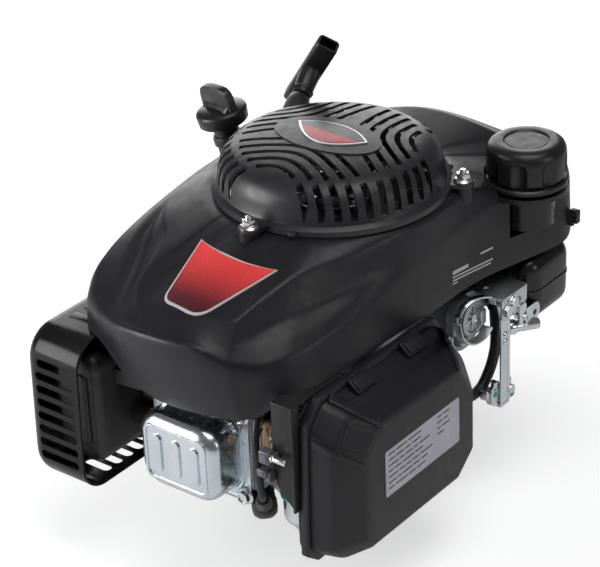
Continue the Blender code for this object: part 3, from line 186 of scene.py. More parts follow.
FINISHES = {
    # moulded and painted blacks
    "shell": finish("shell_black", (0.0115, 0.0098, 0.0128), rough=0.40, grain=1500, bump=0.22,
                    depth=0.00012, rough_var=0.05, edge=0.010, pits=0.5, spec=0.40),
    "dome": finish("dome_black", (0.0155, 0.0138, 0.0168), rough=0.38, grain=1300, bump=0.20,
                   depth=0.00012, rough_var=0.06, edge=0.012, pits=0.5),
    "filter": finish("filter_black", (0.0125, 0.0108, 0.0138), rough=0.42, grain=1100, bump=0.35,
                     depth=0.00015, rough_var=0.05, edge=0.012, pits=0.6, spec=0.40),
    "plain": finish("moulded_black", (0.009, 0.0085, 0.009), rough=0.36, tint=0.15, grain=900,
                    bump=0.12, rough_var=0.08, edge=0.008),
    "tank": finish("tank_black", (0.0075, 0.0066, 0.0080), rough=0.24, tint=0.15, grain=500),
    "gloss": finish("guard_gloss_black", (0.0040, 0.0037, 0.0045), rough=0.20, tint=0.2,
                    grain=240, depth=0.0003, rough_var=0.06, coat=0.05, edge=0.01, spec=0.16),
    "panel": finish("panel_black", (0.008, 0.0073, 0.0088), rough=0.30, tint=0.12, grain=700,
                    bump=0.08, rough_var=0.05, edge=0.02, spec=0.25),
    "paint": finish("muffler_paint", (0.012, 0.011, 0.012), rough=0.42, tint=0.3, blotch=30,
                    grain=800, bump=0.3, rough_var=0.1, second=(0.022, 0.018, 0.016)),
    # metals
    "zinc": finish("bright_zinc", (0.70, 0.76, 0.80), rough=0.17, metal=1.0, tint=0.05, blotch=40,
                   grain=600, bump=0.05, second=(0.80, 0.82, 0.82)),
    "cover_zinc": finish("pressed_zinc", (0.66, 0.73, 0.78), rough=0.24, metal=1.0, tint=0.05,
                         blotch=25, grain=300, bump=0.06, depth=0.0003, rough_var=0.06,
                         second=(0.70, 0.74, 0.77)),
    "plate_zinc": finish("plate_zinc", (0.60, 0.64, 0.66), rough=0.34, metal=0.9, tint=0.06,
                         blotch=60, grain=700, bump=0.08, rough_var=0.08,
                         second=(0.68, 0.70, 0.71)),
    "hardware": finish("zinc_hardware", (0.74, 0.75, 0.75), rough=0.22, metal=1.0, tint=0.08,
                       blotch=80, grain=900, rough_var=0.10),
    "steel": finish("machined_steel", (0.46, 0.46, 0.47), rough=0.28, metal=1.0, tint=0.06,
                    blotch=30, grain=400, bump=0.12, stretch=(1, 1, 14), rough_var=0.08),
    "iron": finish("cast_iron", (0.15, 0.15, 0.155), rough=0.62, metal=0.7, tint=0.2, blotch=50,
                   grain=700, bump=0.6, depth=0.0004, rough_var=0.1, pits=0.8),
    "cast": finish("cast_aluminium", (0.50, 0.51, 0.53), rough=0.44, metal=0.9, blotch=35,
                   grain=650, bump=0.55, depth=0.0003, rough_var=0.1, pits=0.6),
    "cast_dark": finish("shaded_aluminium", (0.33, 0.33, 0.35), rough=0.40, metal=0.9, tint=0.12,
                        blotch=40, grain=500, bump=0.35, depth=0.0003, rough_var=0.1),
    # sheet, rubber, foam and small marks
    "tan": finish("phenolic_tan", (0.36, 0.24, 0.15), rough=0.62, tint=0.15, blotch=60,
                  grain=1200, bump=0.3, rough_var=0.08),
    "gasket": finish("gasket_sheet", (0.15, 0.155, 0.15), rough=0.85, tint=0.2, blotch=200,
                     grain=2500, bump=0.5, rough_var=0.05),
    "rubber": finish("boot_rubber", (0.022, 0.022, 0.024), rough=0.68, tint=0.2, blotch=60,
                     grain=1600, bump=0.35, rough_var=0.08, sheen=0.2),
    "hose": finish("hose_rubber", (0.012, 0.012, 0.013), rough=0.40, tint=0.2, blotch=60,
                   grain=1000, bump=0.2, rough_var=0.08),
    "foam": finish("oiled_foam", (0.08, 0.08, 0.07), rough=0.95, tint=0.3, blotch=200,
                   grain=1200, bump=1.0, depth=0.001, rough_var=0.03, pits=1.0),
    "ceramic": finish("glazed_ceramic", (0.84, 0.83, 0.79), rough=0.16, tint=0.03, grain=300,
                      bump=0.03, rough_var=0.04, coat=0.5),
    "green": finish("paint_mark_green", (0.02, 0.42, 0.34), rough=0.45, grain=600, bump=0.15),
    "grey_clip": finish("grey_clip", (0.15, 0.15, 0.17), rough=0.40, metal=0.3, grain=500),
    "silver": finish("badge_silver", (0.80, 0.80, 0.82), rough=0.24, metal=0.35, tint=0.03,
                     blotch=60, grain=600, bump=0.04, rough_var=0.05),
    "label": finish("label_grey", (0.50, 0.48, 0.55), rough=0.42, tint=0.05, blotch=50,
                    grain=500, bump=0.06, rough_var=0.05),
    "print": finish("print_white", (0.55, 0.55, 0.56), rough=0.5, tint=0.05, grain=900, bump=0.05),
    "ink": finish("print_grey", (0.045, 0.045, 0.05), rough=0.5, tint=0.05, grain=900, bump=0.05),
    "badge": enamel("badge_enamel", axis=(0.05, 1, 0), low=-16, high=12, rough=0.2, stops=[
        (0.0, (0.30, 0.012, 0.010)), (0.42, (0.52, 0.022, 0.018)),
        (0.50, (0.035, 0.03, 0.032)), (1.0, (0.02, 0.018, 0.02))]),
    "plate": enamel("plate_enamel", axis=(0.0, 1, 0.45), low=-70, high=4, rough=0.26, stops=[
        (0.0, (0.035, 0.016, 0.020)), (0.25, (0.14, 0.020, 0.026)),
        (0.60, (0.62, 0.050, 0.050)), (1.0, (0.95, 0.075, 0.070))]),
}


def by_word(table):
    """Turns {key: "word word"} into {word: key}."""
    return {word: key for key, words in table.items() for word in words.split()}


# ------------------------------------------------------------------ shaping --
def add_tool(data):
    obj = bpy.data.objects.new("shape", data)
    TOOLS.objects.link(obj)
    return obj


def to_object(bm):
    mesh = bpy.data.meshes.new("shape")
    bm.to_mesh(mesh)
    bm.free()
    return add_tool(mesh)


def to_solid(bm):
    """The mesh as an object, its faces turned outwards."""
    bmesh.ops.recalc_face_normals(bm, faces=bm.faces)
    if bm.calc_volume(signed=True) < 0:
        bmesh.ops.reverse_faces(bm, faces=bm.faces)
    return to_object(bm)


def bake(obj):
    """The object with its modifiers and transform applied, as a new plain mesh."""
    bpy.context.view_layer.update()
    graph = bpy.context.evaluated_depsgraph_get()
    mesh = bpy.data.meshes.new_from_object(obj.evaluated_get(graph))
    mesh.transform(obj.matrix_world)
    if obj.type != "MESH":
        bm = bmesh.new()
        bm.from_mesh(mesh)
        bmesh.ops.remove_doubles(bm, verts=bm.verts, dist=0.002)
        bm.to_mesh(mesh)
        bm.free()
    bpy.data.objects.remove(obj, do_unlink=True)
    return add_tool(mesh)


def soften(obj, width, segments=3, angle=30):
    """Bevels the edges sharper than angle."""
    bevel = obj.modifiers.new("edges", "BEVEL")
    bevel.width = width
    bevel.segments = segments
    bevel.limit_method = "ANGLE"
    bevel.angle_limit = math.radians(angle)
    return bake(obj)


def box(x0, x1, y0, y1, z0, z1, bevel=0.0, segments=3):
    bm = bmesh.new()
    bmesh.ops.create_cube(bm, size=1.0)
    bmesh.ops.scale(bm, vec=(abs(x1 - x0), abs(y1 - y0), abs(z1 - z0)), verts=bm.verts)
    centre = ((x0 + x1) / 2, (y0 + y1) / 2, (z0 + z1) / 2)
    bmesh.ops.translate(bm, vec=centre, verts=bm.verts)
    obj = to_object(bm)
    return soften(obj, bevel, segments) if bevel else obj


def aim(axis):
    """A rotation that takes +Z to axis."""
    return Vector(axis).to_track_quat("Z", "Y").to_matrix().to_4x4()


def rod(start, end, radius, n=40, end_radius=None, turn=0.0, bevel=0.0):
    start, end = Vector(start), Vector(end)
    reach = end - start
    bm = bmesh.new()
    bmesh.ops.create_cone(bm, cap_ends=True, segments=n, radius1=radius,
                          radius2=radius if end_radius is None else end_radius,
                          depth=reach.length)
    place = Matrix.Translation((start + end) / 2) @ aim(reach) @ Matrix.Rotation(turn, 4, "Z")
    bmesh.ops.transform(bm, matrix=place, verts=bm.verts)
    obj = to_object(bm)
    return soften(obj, bevel, 2, 50) if bevel else obj


def rod_x(x0, x1, y, z, radius, n=40, **more):
    return rod((x0, y, z), (x1, y, z), radius, n, **more)


def rod_y(x, y0, y1, z, radius, n=40, **more):
    return rod((x, y0, z), (x, y1, z), radius, n, **more)


def rod_z(x, y, z0, z1, radius, n=40, **more):
    return rod((x, y, z0), (x, y, z1), radius, n, **more)


def bridge(bm, low, high):
    """Faces between two rings of vertices."""
    n = len(low)
    for i in range(n):
        j = (i + 1) % n
        bm.faces.new((low[i], low[j], high[j], high[i]))


def lathe(profile, centre=(0, 0, 0), axis=None, n=96, closed=False):
    """Revolves (radius, height) points about axis, or about z when there is none."""
    if axis is None:
        profile = [(r, centre[2] + h) for r, h in profile]
        place = Matrix.Translation((centre[0], centre[1], 0))
    else:
        place = Matrix.Translation(Vector(centre)) @ aim(axis)
    angles = [2 * math.pi * i / n for i in range(n)]
    bm = bmesh.new()
    rows = []
    for r, h in profile:
        if r < 1e-6:
            rows.append([bm.verts.new((0, 0, h))])
        else:
            rows.append([bm.verts.new((r * math.cos(a), r * math.sin(a), h)) for a in angles])
    for low, high in zip(rows, rows[1:] + (rows[:1] if closed else [])):
        if len(low) == len(high) == n:
            bridge(bm, low, high)
        elif len(low) == n:
            for i in range(n):
                bm.faces.new((low[i], low[(i + 1) % n], high[0]))
        elif len(high) == n:
            for i in range(n):
                bm.faces.new((low[0], high[(i + 1) % n], high[i]))
    bmesh.ops.recalc_face_normals(bm, faces=bm.faces)
    bmesh.ops.transform(bm, matrix=place, verts=bm.verts)
    if bm.calc_volume(signed=True) < 0:
        bmesh.ops.reverse_faces(bm, faces=bm.faces)
    return to_object(bm)


def ring(profile, centre=(0, 0, 0), axis=None, n=96):
    """Revolves a closed profile."""
    return lathe(profile, centre, axis, n, closed=True)


def loft(rings):
    """Joins rings of points, all with the same number, and caps the ends."""
    bm = bmesh.new()
    rows = [[bm.verts.new(p) for p in points] for points in rings]
    for low, high in zip(rows, rows[1:]):
        bridge(bm, low, high)
    bm.faces.new(rows[0])
    bm.faces.new(rows[-1])
    return to_solid(bm)


def outline(points, low, high, plane="XY", holes=()):
    """A flat shape drawn in a plane, from low to high along the third axis."""
    curve = bpy.data.curves.new("outline", "CURVE")
    curve.dimensions = "2D"
    curve.fill_mode = "BOTH"
    curve.extrude = abs(high - low) / 2
    for loop in (points, *holes):
        line = curve.splines.new("POLY")
        line.points.add(len(loop) - 1)
        for point, (x, y) in zip(line.points, loop):
            point.co = (x, y, 0, 1)
        line.use_cyclic_u = True
    obj = add_tool(curve)
    middle = (low + high) / 2
    if plane == "XY":
        obj.matrix_world = Matrix.Translation((0, 0, middle))
    elif plane == "XZ":
        turn = Matrix.Rotation(math.radians(90), 4, "X")
        obj.matrix_world = Matrix.Translation((0, middle, 0)) @ turn
    else:
        turn = Matrix(((0, 0, 1, 0), (1, 0, 0, 0), (0, 1, 0, 0), (0, 0, 0, 1)))
        obj.matrix_world = Matrix.Translation((middle, 0, 0)) @ turn
    return bake(obj)


def sheet(bevel, *args):
    """An outline with its edges broken."""
    return soften(outline(*args), bevel, 2, 40)


def spline(points, per=8):
    """A smooth line through the points, with per steps in each span."""
    points = [Vector(p) for p in points]
    last = len(points) - 1
    out = []
    for i in range(last):
        p0, p1, p2, p3 = (points[min(max(k, 0), last)] for k in range(i - 1, i + 3))
        for k in range(per):
            t = k / per
            out.append(0.5 * ((2 * p1) + (p2 - p0) * t + (2 * p0 - 5 * p1 + 4 * p2 - p3) * t * t
                              + (3 * p1 - p0 - 3 * p2 + p3) * t ** 3))
    return out + [points[-1]]


def wire(points, radius, sides=6, smooth=8):
    """A round bar along the points; smooth is the steps per span, 0 for straight spans."""
    curve = bpy.data.curves.new("wire", "CURVE")
    curve.dimensions = "3D"
    curve.bevel_depth = radius
    curve.bevel_resolution = sides
    curve.use_fill_caps = True
    points = spline(points, smooth) if smooth else points
    line = curve.splines.new("POLY")
    line.points.add(len(points) - 1)
    for point, place in zip(line.points, points):
        point.co = (*place, 1)
    return bake(add_tool(curve))


def heading(points, i):
    """The line's direction at point i."""
    return (points[min(i + 1, len(points) - 1)] - points[max(i - 1, 0)]).normalized()


def strap(points, width, thick, across):
    """A flat bar that follows points, its width along the across direction."""
    line = spline(points, 6)
    side = Vector(across).normalized() * width / 2
    rings = []
    for i, p in enumerate(line):
        up = heading(line, i).cross(side).normalized() * thick / 2
        rings.append([p + side + up, p - side + up, p - side - up, p + side - up])
    return soften(loft(rings), min(thick * 0.35, 0.8), 2, 50)


def polar(radius, degrees, x=0.0, y=0.0):
    a = math.radians(degrees)
    return x + radius * math.cos(a), y + radius * math.sin(a)


def rounded(x0, x1, y0, y1, r, n=6):
    """A rounded rectangle, counter-clockwise from its (x1, y1) corner."""
    corners = ((x1 - r, y1 - r, 0), (x0 + r, y1 - r, 90), (x0 + r, y0 + r, 180),
               (x1 - r, y0 + r, 270))
    return [polar(r, start + 90 * i / n, x, y) for x, y, start in corners for i in range(n + 1)]


def circle(x, y, r, n=40):
    angles = [2 * math.pi * i / n for i in range(n)]
    return [(x + r * math.cos(a), y + r * math.sin(a)) for a in angles]


def boolean(obj, tools, kind, solver="EXACT"):
    for tool in tools:
        step = obj.modifiers.new("boolean", "BOOLEAN")
        step.operation = kind
        step.object = tool
        step.solver = solver
    done = bake(obj)
    for tool in tools:
        bpy.data.objects.remove(tool, do_unlink=True)
    return done


def cut(obj, *tools):
    return boolean(obj, tools, "DIFFERENCE")


def union(obj, *tools):
    return boolean(obj, tools, "UNION")


def cut_solid(obj, *tools):
    """A cut with the manifold solver, for closed solids."""
    return boolean(obj, tools, "DIFFERENCE", "MANIFOLD")


def union_solid(obj, *tools):
    return boolean(obj, tools, "UNION", "MANIFOLD")


def gather(*objs):
    """Several meshes as one, without a Boolean."""
    bm = bmesh.new()
    for obj in objs:
        bm.from_mesh(obj.data)
        bpy.data.objects.remove(obj, do_unlink=True)
    return to_object(bm)


def move(obj, matrix):
    obj.data.transform(matrix)
    return obj


def turn_z(degrees):
    return Matrix.Rotation(math.radians(degrees), 4, "Z")


def axes_at(place, x_axis, y_axis, z_axis):
    return Matrix.Translation(place) @ Matrix((x_axis, y_axis, z_axis)).transposed().to_4x4()


def hit_tree(obj):
    """A ray-cast tree of the object as it is now."""
    mesh = obj.data
    return BVHTree.FromPolygons([v.co.copy() for v in mesh.vertices],
                                [tuple(p.vertices) for p in mesh.polygons])


def shade(mesh, look, angle):
    mesh.materials.clear()
    mesh.materials.append(FINISHES[look])
    for face in mesh.polygons:
        face.use_smooth = True
    mesh.set_sharp_from_angle(angle=math.radians(angle))


def put(name, obj, look, replaces=None, body="root", angle=38):
    """Makes a shape one of the engine's visible pieces."""
    TOOLS.objects.unlink(obj)
    SCENE.collection.objects.link(obj)
    obj.data.transform(WORLD)
    obj.name = obj.data.name = name
    shade(obj.data, look, angle)
    if body:
        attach(obj, body)
    if replaces:
        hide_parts(replaces)
    return obj


# ------------------------------------------------------------ blower shroud --
# Stations run counter-clockwise from the front: azimuth, upper crease,
# shoulder and lower edge, heights over the deck.
STATIONS = [
    (-90, (0, -192, -32), (0, -218, -48), (2, -203, -112)),
    (-80, (22, -188, -34), (30, -211, -49), (30, -198, -111)),
    (-75, (42, -178, -32), (50, -200, -62), (52, -193, -110)),
    (-70, (48, -152, -22), (70, -184, -66), (64, -184, -108)),
    (-64, (57, -124, -12), (80, -168, -64), (83, -177, -90)),
    (-56, (66, -98, -9), (88, -142, -63), (95, -150, -86)),
    (-44, (78, -76, -8), (94, -104, -58), (98, -108, -86)),
    (-30, (89, -48, -6), (97, -66, -50), (99, -68, -86)),
    (-14, (97, -24, -5), (100, -28, -42), (101, -28, -86)),
    (4, (99, 6, -5), (102, 6, -38), (103, 6, -86)),
    (20, (96, 36, -4), (101, 38, -34), (102, 38, -86)),
    (34, (99, 66, -4), (104, 68, -28), (105, 68, -86)),
    (46, (102, 94, -16), (112, 98, -28), (112, 98, -86)),
    (54, (110, 126, -19), (122, 134, -26), (122, 134, -86)),
    (61, (106, 150, -17), (129, 161, -20), (129, 163, -84)),
    (68, (78, 152, -5), (112, 182, -22), (114, 184, -62)),
    (76, (44, 150, 7), (60, 174, -9), (66, 186, -56)),
    (90, (6, 152, 9), (6, 168, 0), (6, 184, -56)),
    (104, (-30, 150, 7), (-36, 166, -3), (-42, 182, -56)),
    (118, (-70, 128, -3), (-84, 152, -14), (-88, 168, -56)),
    (132, (-92, 98, -4), (-114, 118, -20), (-118, 126, -60)),
    (147, (-106, 64, -4), (-132, 76, -22), (-136, 80, -66)),
    (163, (-108, 30, -3), (-140, 34, -22), (-144, 36, -74)),
    (180, (-106, -4, -3), (-140, -6, -24), (-145, -6, -78)),
    (196, (-104, -34, -4), (-138, -44, -28), (-143, -44, -80)),
    (210, (-105, -64, -6), (-134, -86, -32), (-138, -86, -81)),
    (222, (-88, -98, -8), (-130, -128, -38), (-132, -130, -81)),
    (233, (-66, -116, -10), (-124, -160, -46), (-126, -165, -81)),
    (243, (-56, -140, -16), (-108, -186, -54), (-108, -187, -81)),
    (252, (-54, -168, -28), (-84, -200, -58), (-86, -195, -82)),
    (261, (-46, -186, -36), (-54, -212, -54), (-56, -200, -105)),
    (266, (-24, -192, -34), (-28, -217, -50), (-26, -203, -112)),
]
# corner radius in plan by azimuth, then by row from the inside out
PLAN_RADII = {-80: 9, -75: 3.5, -70: 5, -64: 8, 46: 16, 61: 14, 68: 12, 252: 6, 261: 5,
              243: 9, 222: 18, 233: 10}
LOOSE_RADIUS = 60.0
ROW_RADII = [0, 6, 3.0, 2.4, 6, 4.5, 3.2, 6, 30, 0]
# depth of the groove outside the crease, by azimuth
GROOVE_DIPS = {196: 1.5, 210: 4.5, 222: 7.5, 233: 8.5, 243: 6.5, 252: 2.5,
               -70: 4.0, -64: 6.5, -56: 7.5, -44: 6.0, -30: 3.0}


def fillet(points, radii, closed, per):
    """Replaces each corner of a polyline by a curve of per + 1 points."""
    n = len(points)
    out = []
    for i, p in enumerate(points):
        if not closed and i in (0, n - 1):
            out.append(p.copy())
            continue
        ends = []
        for other in (points[i - 1], points[(i + 1) % n]):
            side = other - p
            cutback = min(radii[i], side.length * 0.5)
            ends.append(p + side.normalized() * cutback if side.length > 1e-6 else p.copy())
        for k in range(per + 1):
            t = k / per
            out.append(ends[0] * (1 - t) ** 2 + p * (2 * t * (1 - t)) + ends[1] * t * t)
    return out


def hood_rows():
    """Ten points across the shroud at each station, from the dome's seat to the lower edge."""
    rows = []
    for azimuth, crease, shoulder, low in STATIONS:
        seat = Vector((*polar(92.5, azimuth), -0.6))
        rim = Vector((*polar(104, azimuth), -0.6))
        crease, shoulder, low = Vector(crease), Vector(shoulder), Vector(low)
        if crease.to_2d().length < 110:
            rim = seat * 0.4 + Vector((crease.x, crease.y, -2)) * 0.6
        slope = shoulder - crease
        length = max(slope.length, 1.0)
        side = Vector((slope.x, slope.y, 0)).normalized()
        left = 150 <= azimuth <= 256
        strip = crease + slope * min(0.40, (11.0 if left else 5.0) / length)
        if left:
            strip.z = crease.z - 3.0
        dip = GROOVE_DIPS.get(azimuth, 0.0)
        groove = crease + slope * (0.50 if left else 0.40)
        groove.z -= dip
        groove -= side * (dip * 0.5)
        ridge = crease + slope * (0.64 if left else 0.66)
        ridge.z -= 0.0 if left else dip * 0.3
        edge = crease + slope * 0.93
        edge.z += 2.4 if azimuth not in (-75, -70, -64) else 0.8
        bulge = Vector((shoulder.x - low.x, shoulder.y - low.y, 0)) * 0.05
        knee = shoulder.lerp(low, 0.12) + bulge
        middle = shoulder.lerp(low, 0.55) + bulge
        rows.append([seat, rim, crease, strip, groove, ridge, edge, knee, middle, low])
    return rows


def hood_skin():
    rows = hood_rows()
    radii = [PLAN_RADII.get(station[0], LOOSE_RADIUS) for station in STATIONS]
    lines = []
    for j in range(len(ROW_RADII)):
        line_radii = [LOOSE_RADIUS] * len(rows) if j < 2 else radii
        lines.append(fillet([row[j] for row in rows], line_radii, True, 5))
    columns = [fillet(list(points), ROW_RADII, False, 3) for points in zip(*lines)]
    bm = bmesh.new()
    grid = [[bm.verts.new((p.x, p.y, p.z + DECK)) for p in column] for column in columns]
    for here, after in zip(grid, grid[1:] + grid[:1]):
        for j in range(len(here) - 1):
            bm.faces.new((here[j], here[j + 1], after[j + 1], after[j]))
    bmesh.ops.remove_doubles(bm, verts=bm.verts, dist=0.02)
    bmesh.ops.recalc_face_normals(bm, faces=bm.faces)
    if sum(face.normal.z for face in bm.faces) < 0:
        bmesh.ops.reverse_faces(bm, faces=bm.faces)
    return to_object(bm)


HOOD_SKIN = hood_skin()
HOOD_TREE = hit_tree(HOOD_SKIN)


def on_hood(x, y, default=None):
    """The shroud's height at a place in plan."""
    hit = HOOD_TREE.ray_cast(Vector((x, y, DECK + 60)), Vector((0, 0, -1)))
    return hit[0].z if hit[0] is not None else default


def hood_shell(skin):
    """The skin thickened, with stud bosses and openings for fuel cap, oil tube and studs."""
    wall = skin.modifiers.new("wall", "SOLIDIFY")
    wall.thickness = 2.4
    wall.offset = -1.0
    wall.use_even_offset = False
    studs = [polar(STUD_RADIUS, azimuth) for azimuth in STUD_ANGLES]
    shell = union_solid(bake(skin), *[rod_z(x, y, DECK - 12, DECK + 1.2, 8.6, 32)
                                      for x, y in studs])
    return cut_solid(
        shell, rod_z(CAP_X, CAP_Y, DECK - 19.4, DECK + 20, 35.5, 72),
        rod_z(CAP_X, CAP_Y, DECK - 60, DECK + 20, 26.5, 72),
        rod(OIL_FOOT.lerp(OIL_MOUTH, 0.4), (-145.9, 33.8, DECK + 26), 13.5, 48),
        *[rod_z(x, y, DECK - 30, DECK + 9, 3.3, 20) for x, y in studs])


put("blower_shroud", hood_shell(HOOD_SKIN), "shell", "blower_housing", angle=28)


def filler_well():
    """The recess that the fuel cap sits in: a wall that follows the shroud and a floor."""
    n = 96
    under, floor_top, brim = DECK - 23.4, DECK - 21.0, DECK - 19.6
    rings = [[] for _ in range(6)]
    for i in range(n):
        a = 2 * math.pi * i / n
        c, s = math.cos(a), math.sin(a)
        tops = [on_hood(CAP_X + r * c, CAP_Y + r * s) for r in (34.5, 36.0, 37.5)]
        tops = [top for top in tops if top is not None]
        top = max(brim, (min(tops) if tops else brim) + 0.4)
        outer = 37.2 if len(tops) == 3 and top > DECK - 18 else 35.4
        section = ((25.2, under), (25.2, floor_top), (35.0, floor_top), (35.2, top),
                   (outer, top), (outer, under))
        for points, (r, z) in zip(rings, section):
            points.append((CAP_X + r * c, CAP_Y + r * s, z))
    bm = bmesh.new()
    rows = [[bm.verts.new(p) for p in points] for points in rings]
    for low, high in zip(rows, rows[1:] + rows[:1]):
        bridge(bm, low, high)
    bmesh.ops.recalc_face_normals(bm, faces=bm.faces)
    return to_object(bm)


put("filler_well", filler_well(), "shell")

# clip on the shroud's flank beside the tank
tab = union(box(126, 134, 163, 169, DECK - 70, DECK - 58, 1.0, 2),
            box(120, 130, 162.5, 167, DECK - 73, DECK - 60, 1.0, 2))
put("shroud_clip", cut(tab, rod_y(131, 158, 175, DECK - 64, 1.8, 24)), "shell")

# ------------------------------------------------------------ recoil starter --
# (radius, height over the deck), outside from the rim up, inside from the top down
DOME = [(98, 0.2), (98, 5), (96.5, 6.2), (94, 7.5), (93, 10), (92.3, 18), (90.5, 25), (86.5, 32),
        (80, 37), (70, 40.3), (55, 42.6), (40, 43.8), (20, 44.7), (0, 45)]
DOME_INSIDE = [(0, 42.6), (20, 42.3), (40, 41.4), (55, 40.2), (69, 37.9), (78.4, 34.8),
               (84.4, 30.4), (88, 24.2), (89.8, 17.6), (90.4, 9), (90.6, 0.2)]
DOME_PLATE_Y = -3
# where each slot crosses the lobe's centre line, and the azimuth of its end
DOME_SLOTS = ((66, -66), (54.5, -58), (43, -50), (31.5, -42), (20, -34))


def dome_height(radius):
    for (r1, h1), (r0, h0) in zip(DOME, DOME[1:]):
        if r0 <= radius <= r1:
            return h0 + (h1 - h0) * (radius - r0) / (r1 - r0)


def slot_prism(points):
    """A vertical prism along a run of plan points, a little wider at the flank."""
    left, right = [], []
    for i, p in enumerate(points):
        along = heading(points, i)
        side = Vector((-along.y, along.x))
        half = 2.45 + 0.55 * min(1.0, max(0.0, (p.length - 72) / 12))
        left.append(p + side * half)
        right.append(p - side * half)
    loop = left + right[::-1]
    bm = bmesh.new()
    low, top = [[bm.verts.new((p.x, p.y, z)) for p in loop] for z in (DECK + 10.5, DECK + 60)]
    m = len(loop)
    for i in range(len(points) - 1):
        bm.faces.new((low[i], low[i + 1], low[m - 2 - i], low[m - 1 - i]))
        bm.faces.new((top[i], top[m - 1 - i], top[m - 2 - i], top[i + 1]))
    for i in range(m):
        j = (i + 1) % m
        bm.faces.new((low[j], low[i], top[i], top[j]))
    return to_solid(bm)


def dome_slots():
    """Plan runs of the bent slots in three lobes, broken by the plate and a plain ring."""
    runs = []
    bend = 18.0
    for lobe in (0, 120, 240):
        for start, end in DOME_SLOTS:
            end_x, end_y = polar(90, end)
            slope = (-end_y - start) / (math.sqrt(end_x * end_x + bend * bend) - bend)
            run = []
            for k in range(-60, 61):
                x = end_x * 1.065 * (k / 60.0)
                y = -start - slope * (math.sqrt(x * x + bend * bend) - bend)
                p = (turn_z(lobe) @ Vector((x, y, 0))).to_2d()
                on_plate = (p.x / 49.0) ** 2 + ((p.y - DOME_PLATE_Y) / 28.0) ** 2 < 1.0
                if not on_plate and not 74.6 < p.length < 79.6 and p.length < 95.0:
                    run.append(p)
                else:
                    runs.append(run)
                    run = []
            runs.append(run)
    return [run for run in runs if len(run) > 3]


dome = ring([(r, DECK + h) for r, h in DOME + DOME_INSIDE], n=144)
dome = cut(dome, gather(*[slot_prism(run) for run in dome_slots()]))
ears = []
for azimuth in STUD_ANGLES:
    ear = union(rod_z(*polar(106.5, azimuth), DECK + 1.5, DECK + 5.2, 9.4, 40),
                move(box(86, 106, -9.2, 9.2, DECK + 1.5, DECK + 5.2), turn_z(azimuth)))
    ears.append(soften(ear, 0.9, 2, 40))
for azimuth in (-71, 49, 169):
    ears.append(move(box(95, 101.5, -3.2, 3.2, DECK + 0.6, DECK + 4.6, 0.8, 2), turn_z(azimuth)))
cord_guide = ring([(3.6, -26), (10.6, -26), (10.2, -8), (9.0, -2), (8.2, -0.8), (4.6, -0.8),
                   (3.6, -2.4)], PULL_BASE, PULL_AXIS, n=48)
put("starter_dome", gather(dome, *ears, cord_guide), "dome", "recoil_cover", angle=34)

for i, azimuth in enumerate(STUD_ANGLES, 1):
    x, y = polar(STUD_RADIUS, azimuth)
    place = (x, y, DECK)
    nut = rod_z(x, y, DECK + 7.0, DECK + 12.2, 5.9, 6, turn=math.radians(14 + azimuth), bevel=0.5)
    flange = ring([(3, 5.3), (8.0, 5.3), (8.2, 6.0), (7.6, 6.8), (5.6, 8.0), (3, 8.0)], place, n=40)
    stud = lathe([(0, -13), (2.9, -13), (2.9, 14.2), (2.2, 15.4), (0, 15.6)], place, n=28)
    threads = [ring([(2.5, 12.6 + 0.8 * k), (3.1, 12.8 + 0.8 * k), (2.5, 13.1 + 0.8 * k)],
                    place, n=24) for k in range(3)]
    put(f"dome_nut_{i}", gather(nut, flange, stud, *threads), "hardware", f"cover_nut_{i}")


def badge_ring(grow, n=14):
    """The lens outline on the dome in plan, grown by some millimetres."""
    left, right = Vector((-35.0 - grow * 1.8, 4.0)), Vector((37.0 + grow * 1.8, 1.0))
    top, low = Vector((2.0, 15.0 + grow)), Vector((3.0, -21.0 - grow))
    points = []
    for start, middle, end in ((left, low, right), (right, top, left)):
        pull = middle * 2 - (start + end) / 2
        for i in range(n):
            t = i / n
            p = start * (1 - t) ** 2 + pull * (2 * t * (1 - t)) + end * t * t
            points.append((p.x, p.y))
    return points


def plate_fan(points, z0, z1, x, y, steps=8):
    """A closed plate built as rings shrinking to a centre, so that it can be bent."""
    rows = []
    for k in range(steps):
        f = 1 - k / steps
        rows.append([(x + (px - x) * f, y + (py - y) * f) for px, py in points])
    bm = bmesh.new()
    top = [[bm.verts.new((*p, z1)) for p in row] for row in rows]
    low = [[bm.verts.new((*p, z0)) for p in row] for row in rows]
    top_centre, low_centre = bm.verts.new((x, y, z1)), bm.verts.new((x, y, z0))
    n = len(points)
    for i in range(n):
        j = (i + 1) % n
        for a, b in zip(top, top[1:]):
            bm.faces.new((a[i], a[j], b[j], b[i]))
        for a, b in zip(low, low[1:]):
            bm.faces.new((a[j], a[i], b[i], b[j]))
        bm.faces.new((top[-1][i], top[-1][j], top_centre))
        bm.faces.new((low[-1][j], low[-1][i], low_centre))
        bm.faces.new((low[0][i], low[0][j], top[0][j], top[0][i]))
    bmesh.ops.recalc_face_normals(bm, faces=bm.faces)
    return to_object(bm)


def on_dome(obj, lift):
    """Bends a flat plate onto the dome."""
    for v in obj.data.vertices:
        v.co.z += DECK + dome_height(math.hypot(v.co.x, v.co.y)) + lift
    return obj


plate_angles = [2 * math.pi * i / 72 for i in range(72)]
oval = [(49.5 * math.cos(a), DOME_PLATE_Y + 28.5 * math.sin(a)) for a in plate_angles]
put("dome_plate", on_dome(plate_fan(oval, -1.0, 0.9, 0, DOME_PLATE_Y), 0.0), "dome")
put("dome_badge_rim", on_dome(plate_fan(badge_ring(0.0), 0.0, 1.5, 2, -2), 0.3), "silver",
    "dome_badge")
put("dome_badge_face", on_dome(plate_fan(badge_ring(-1.5), 0.0, 1.9, 2, -2), 0.3), "badge")


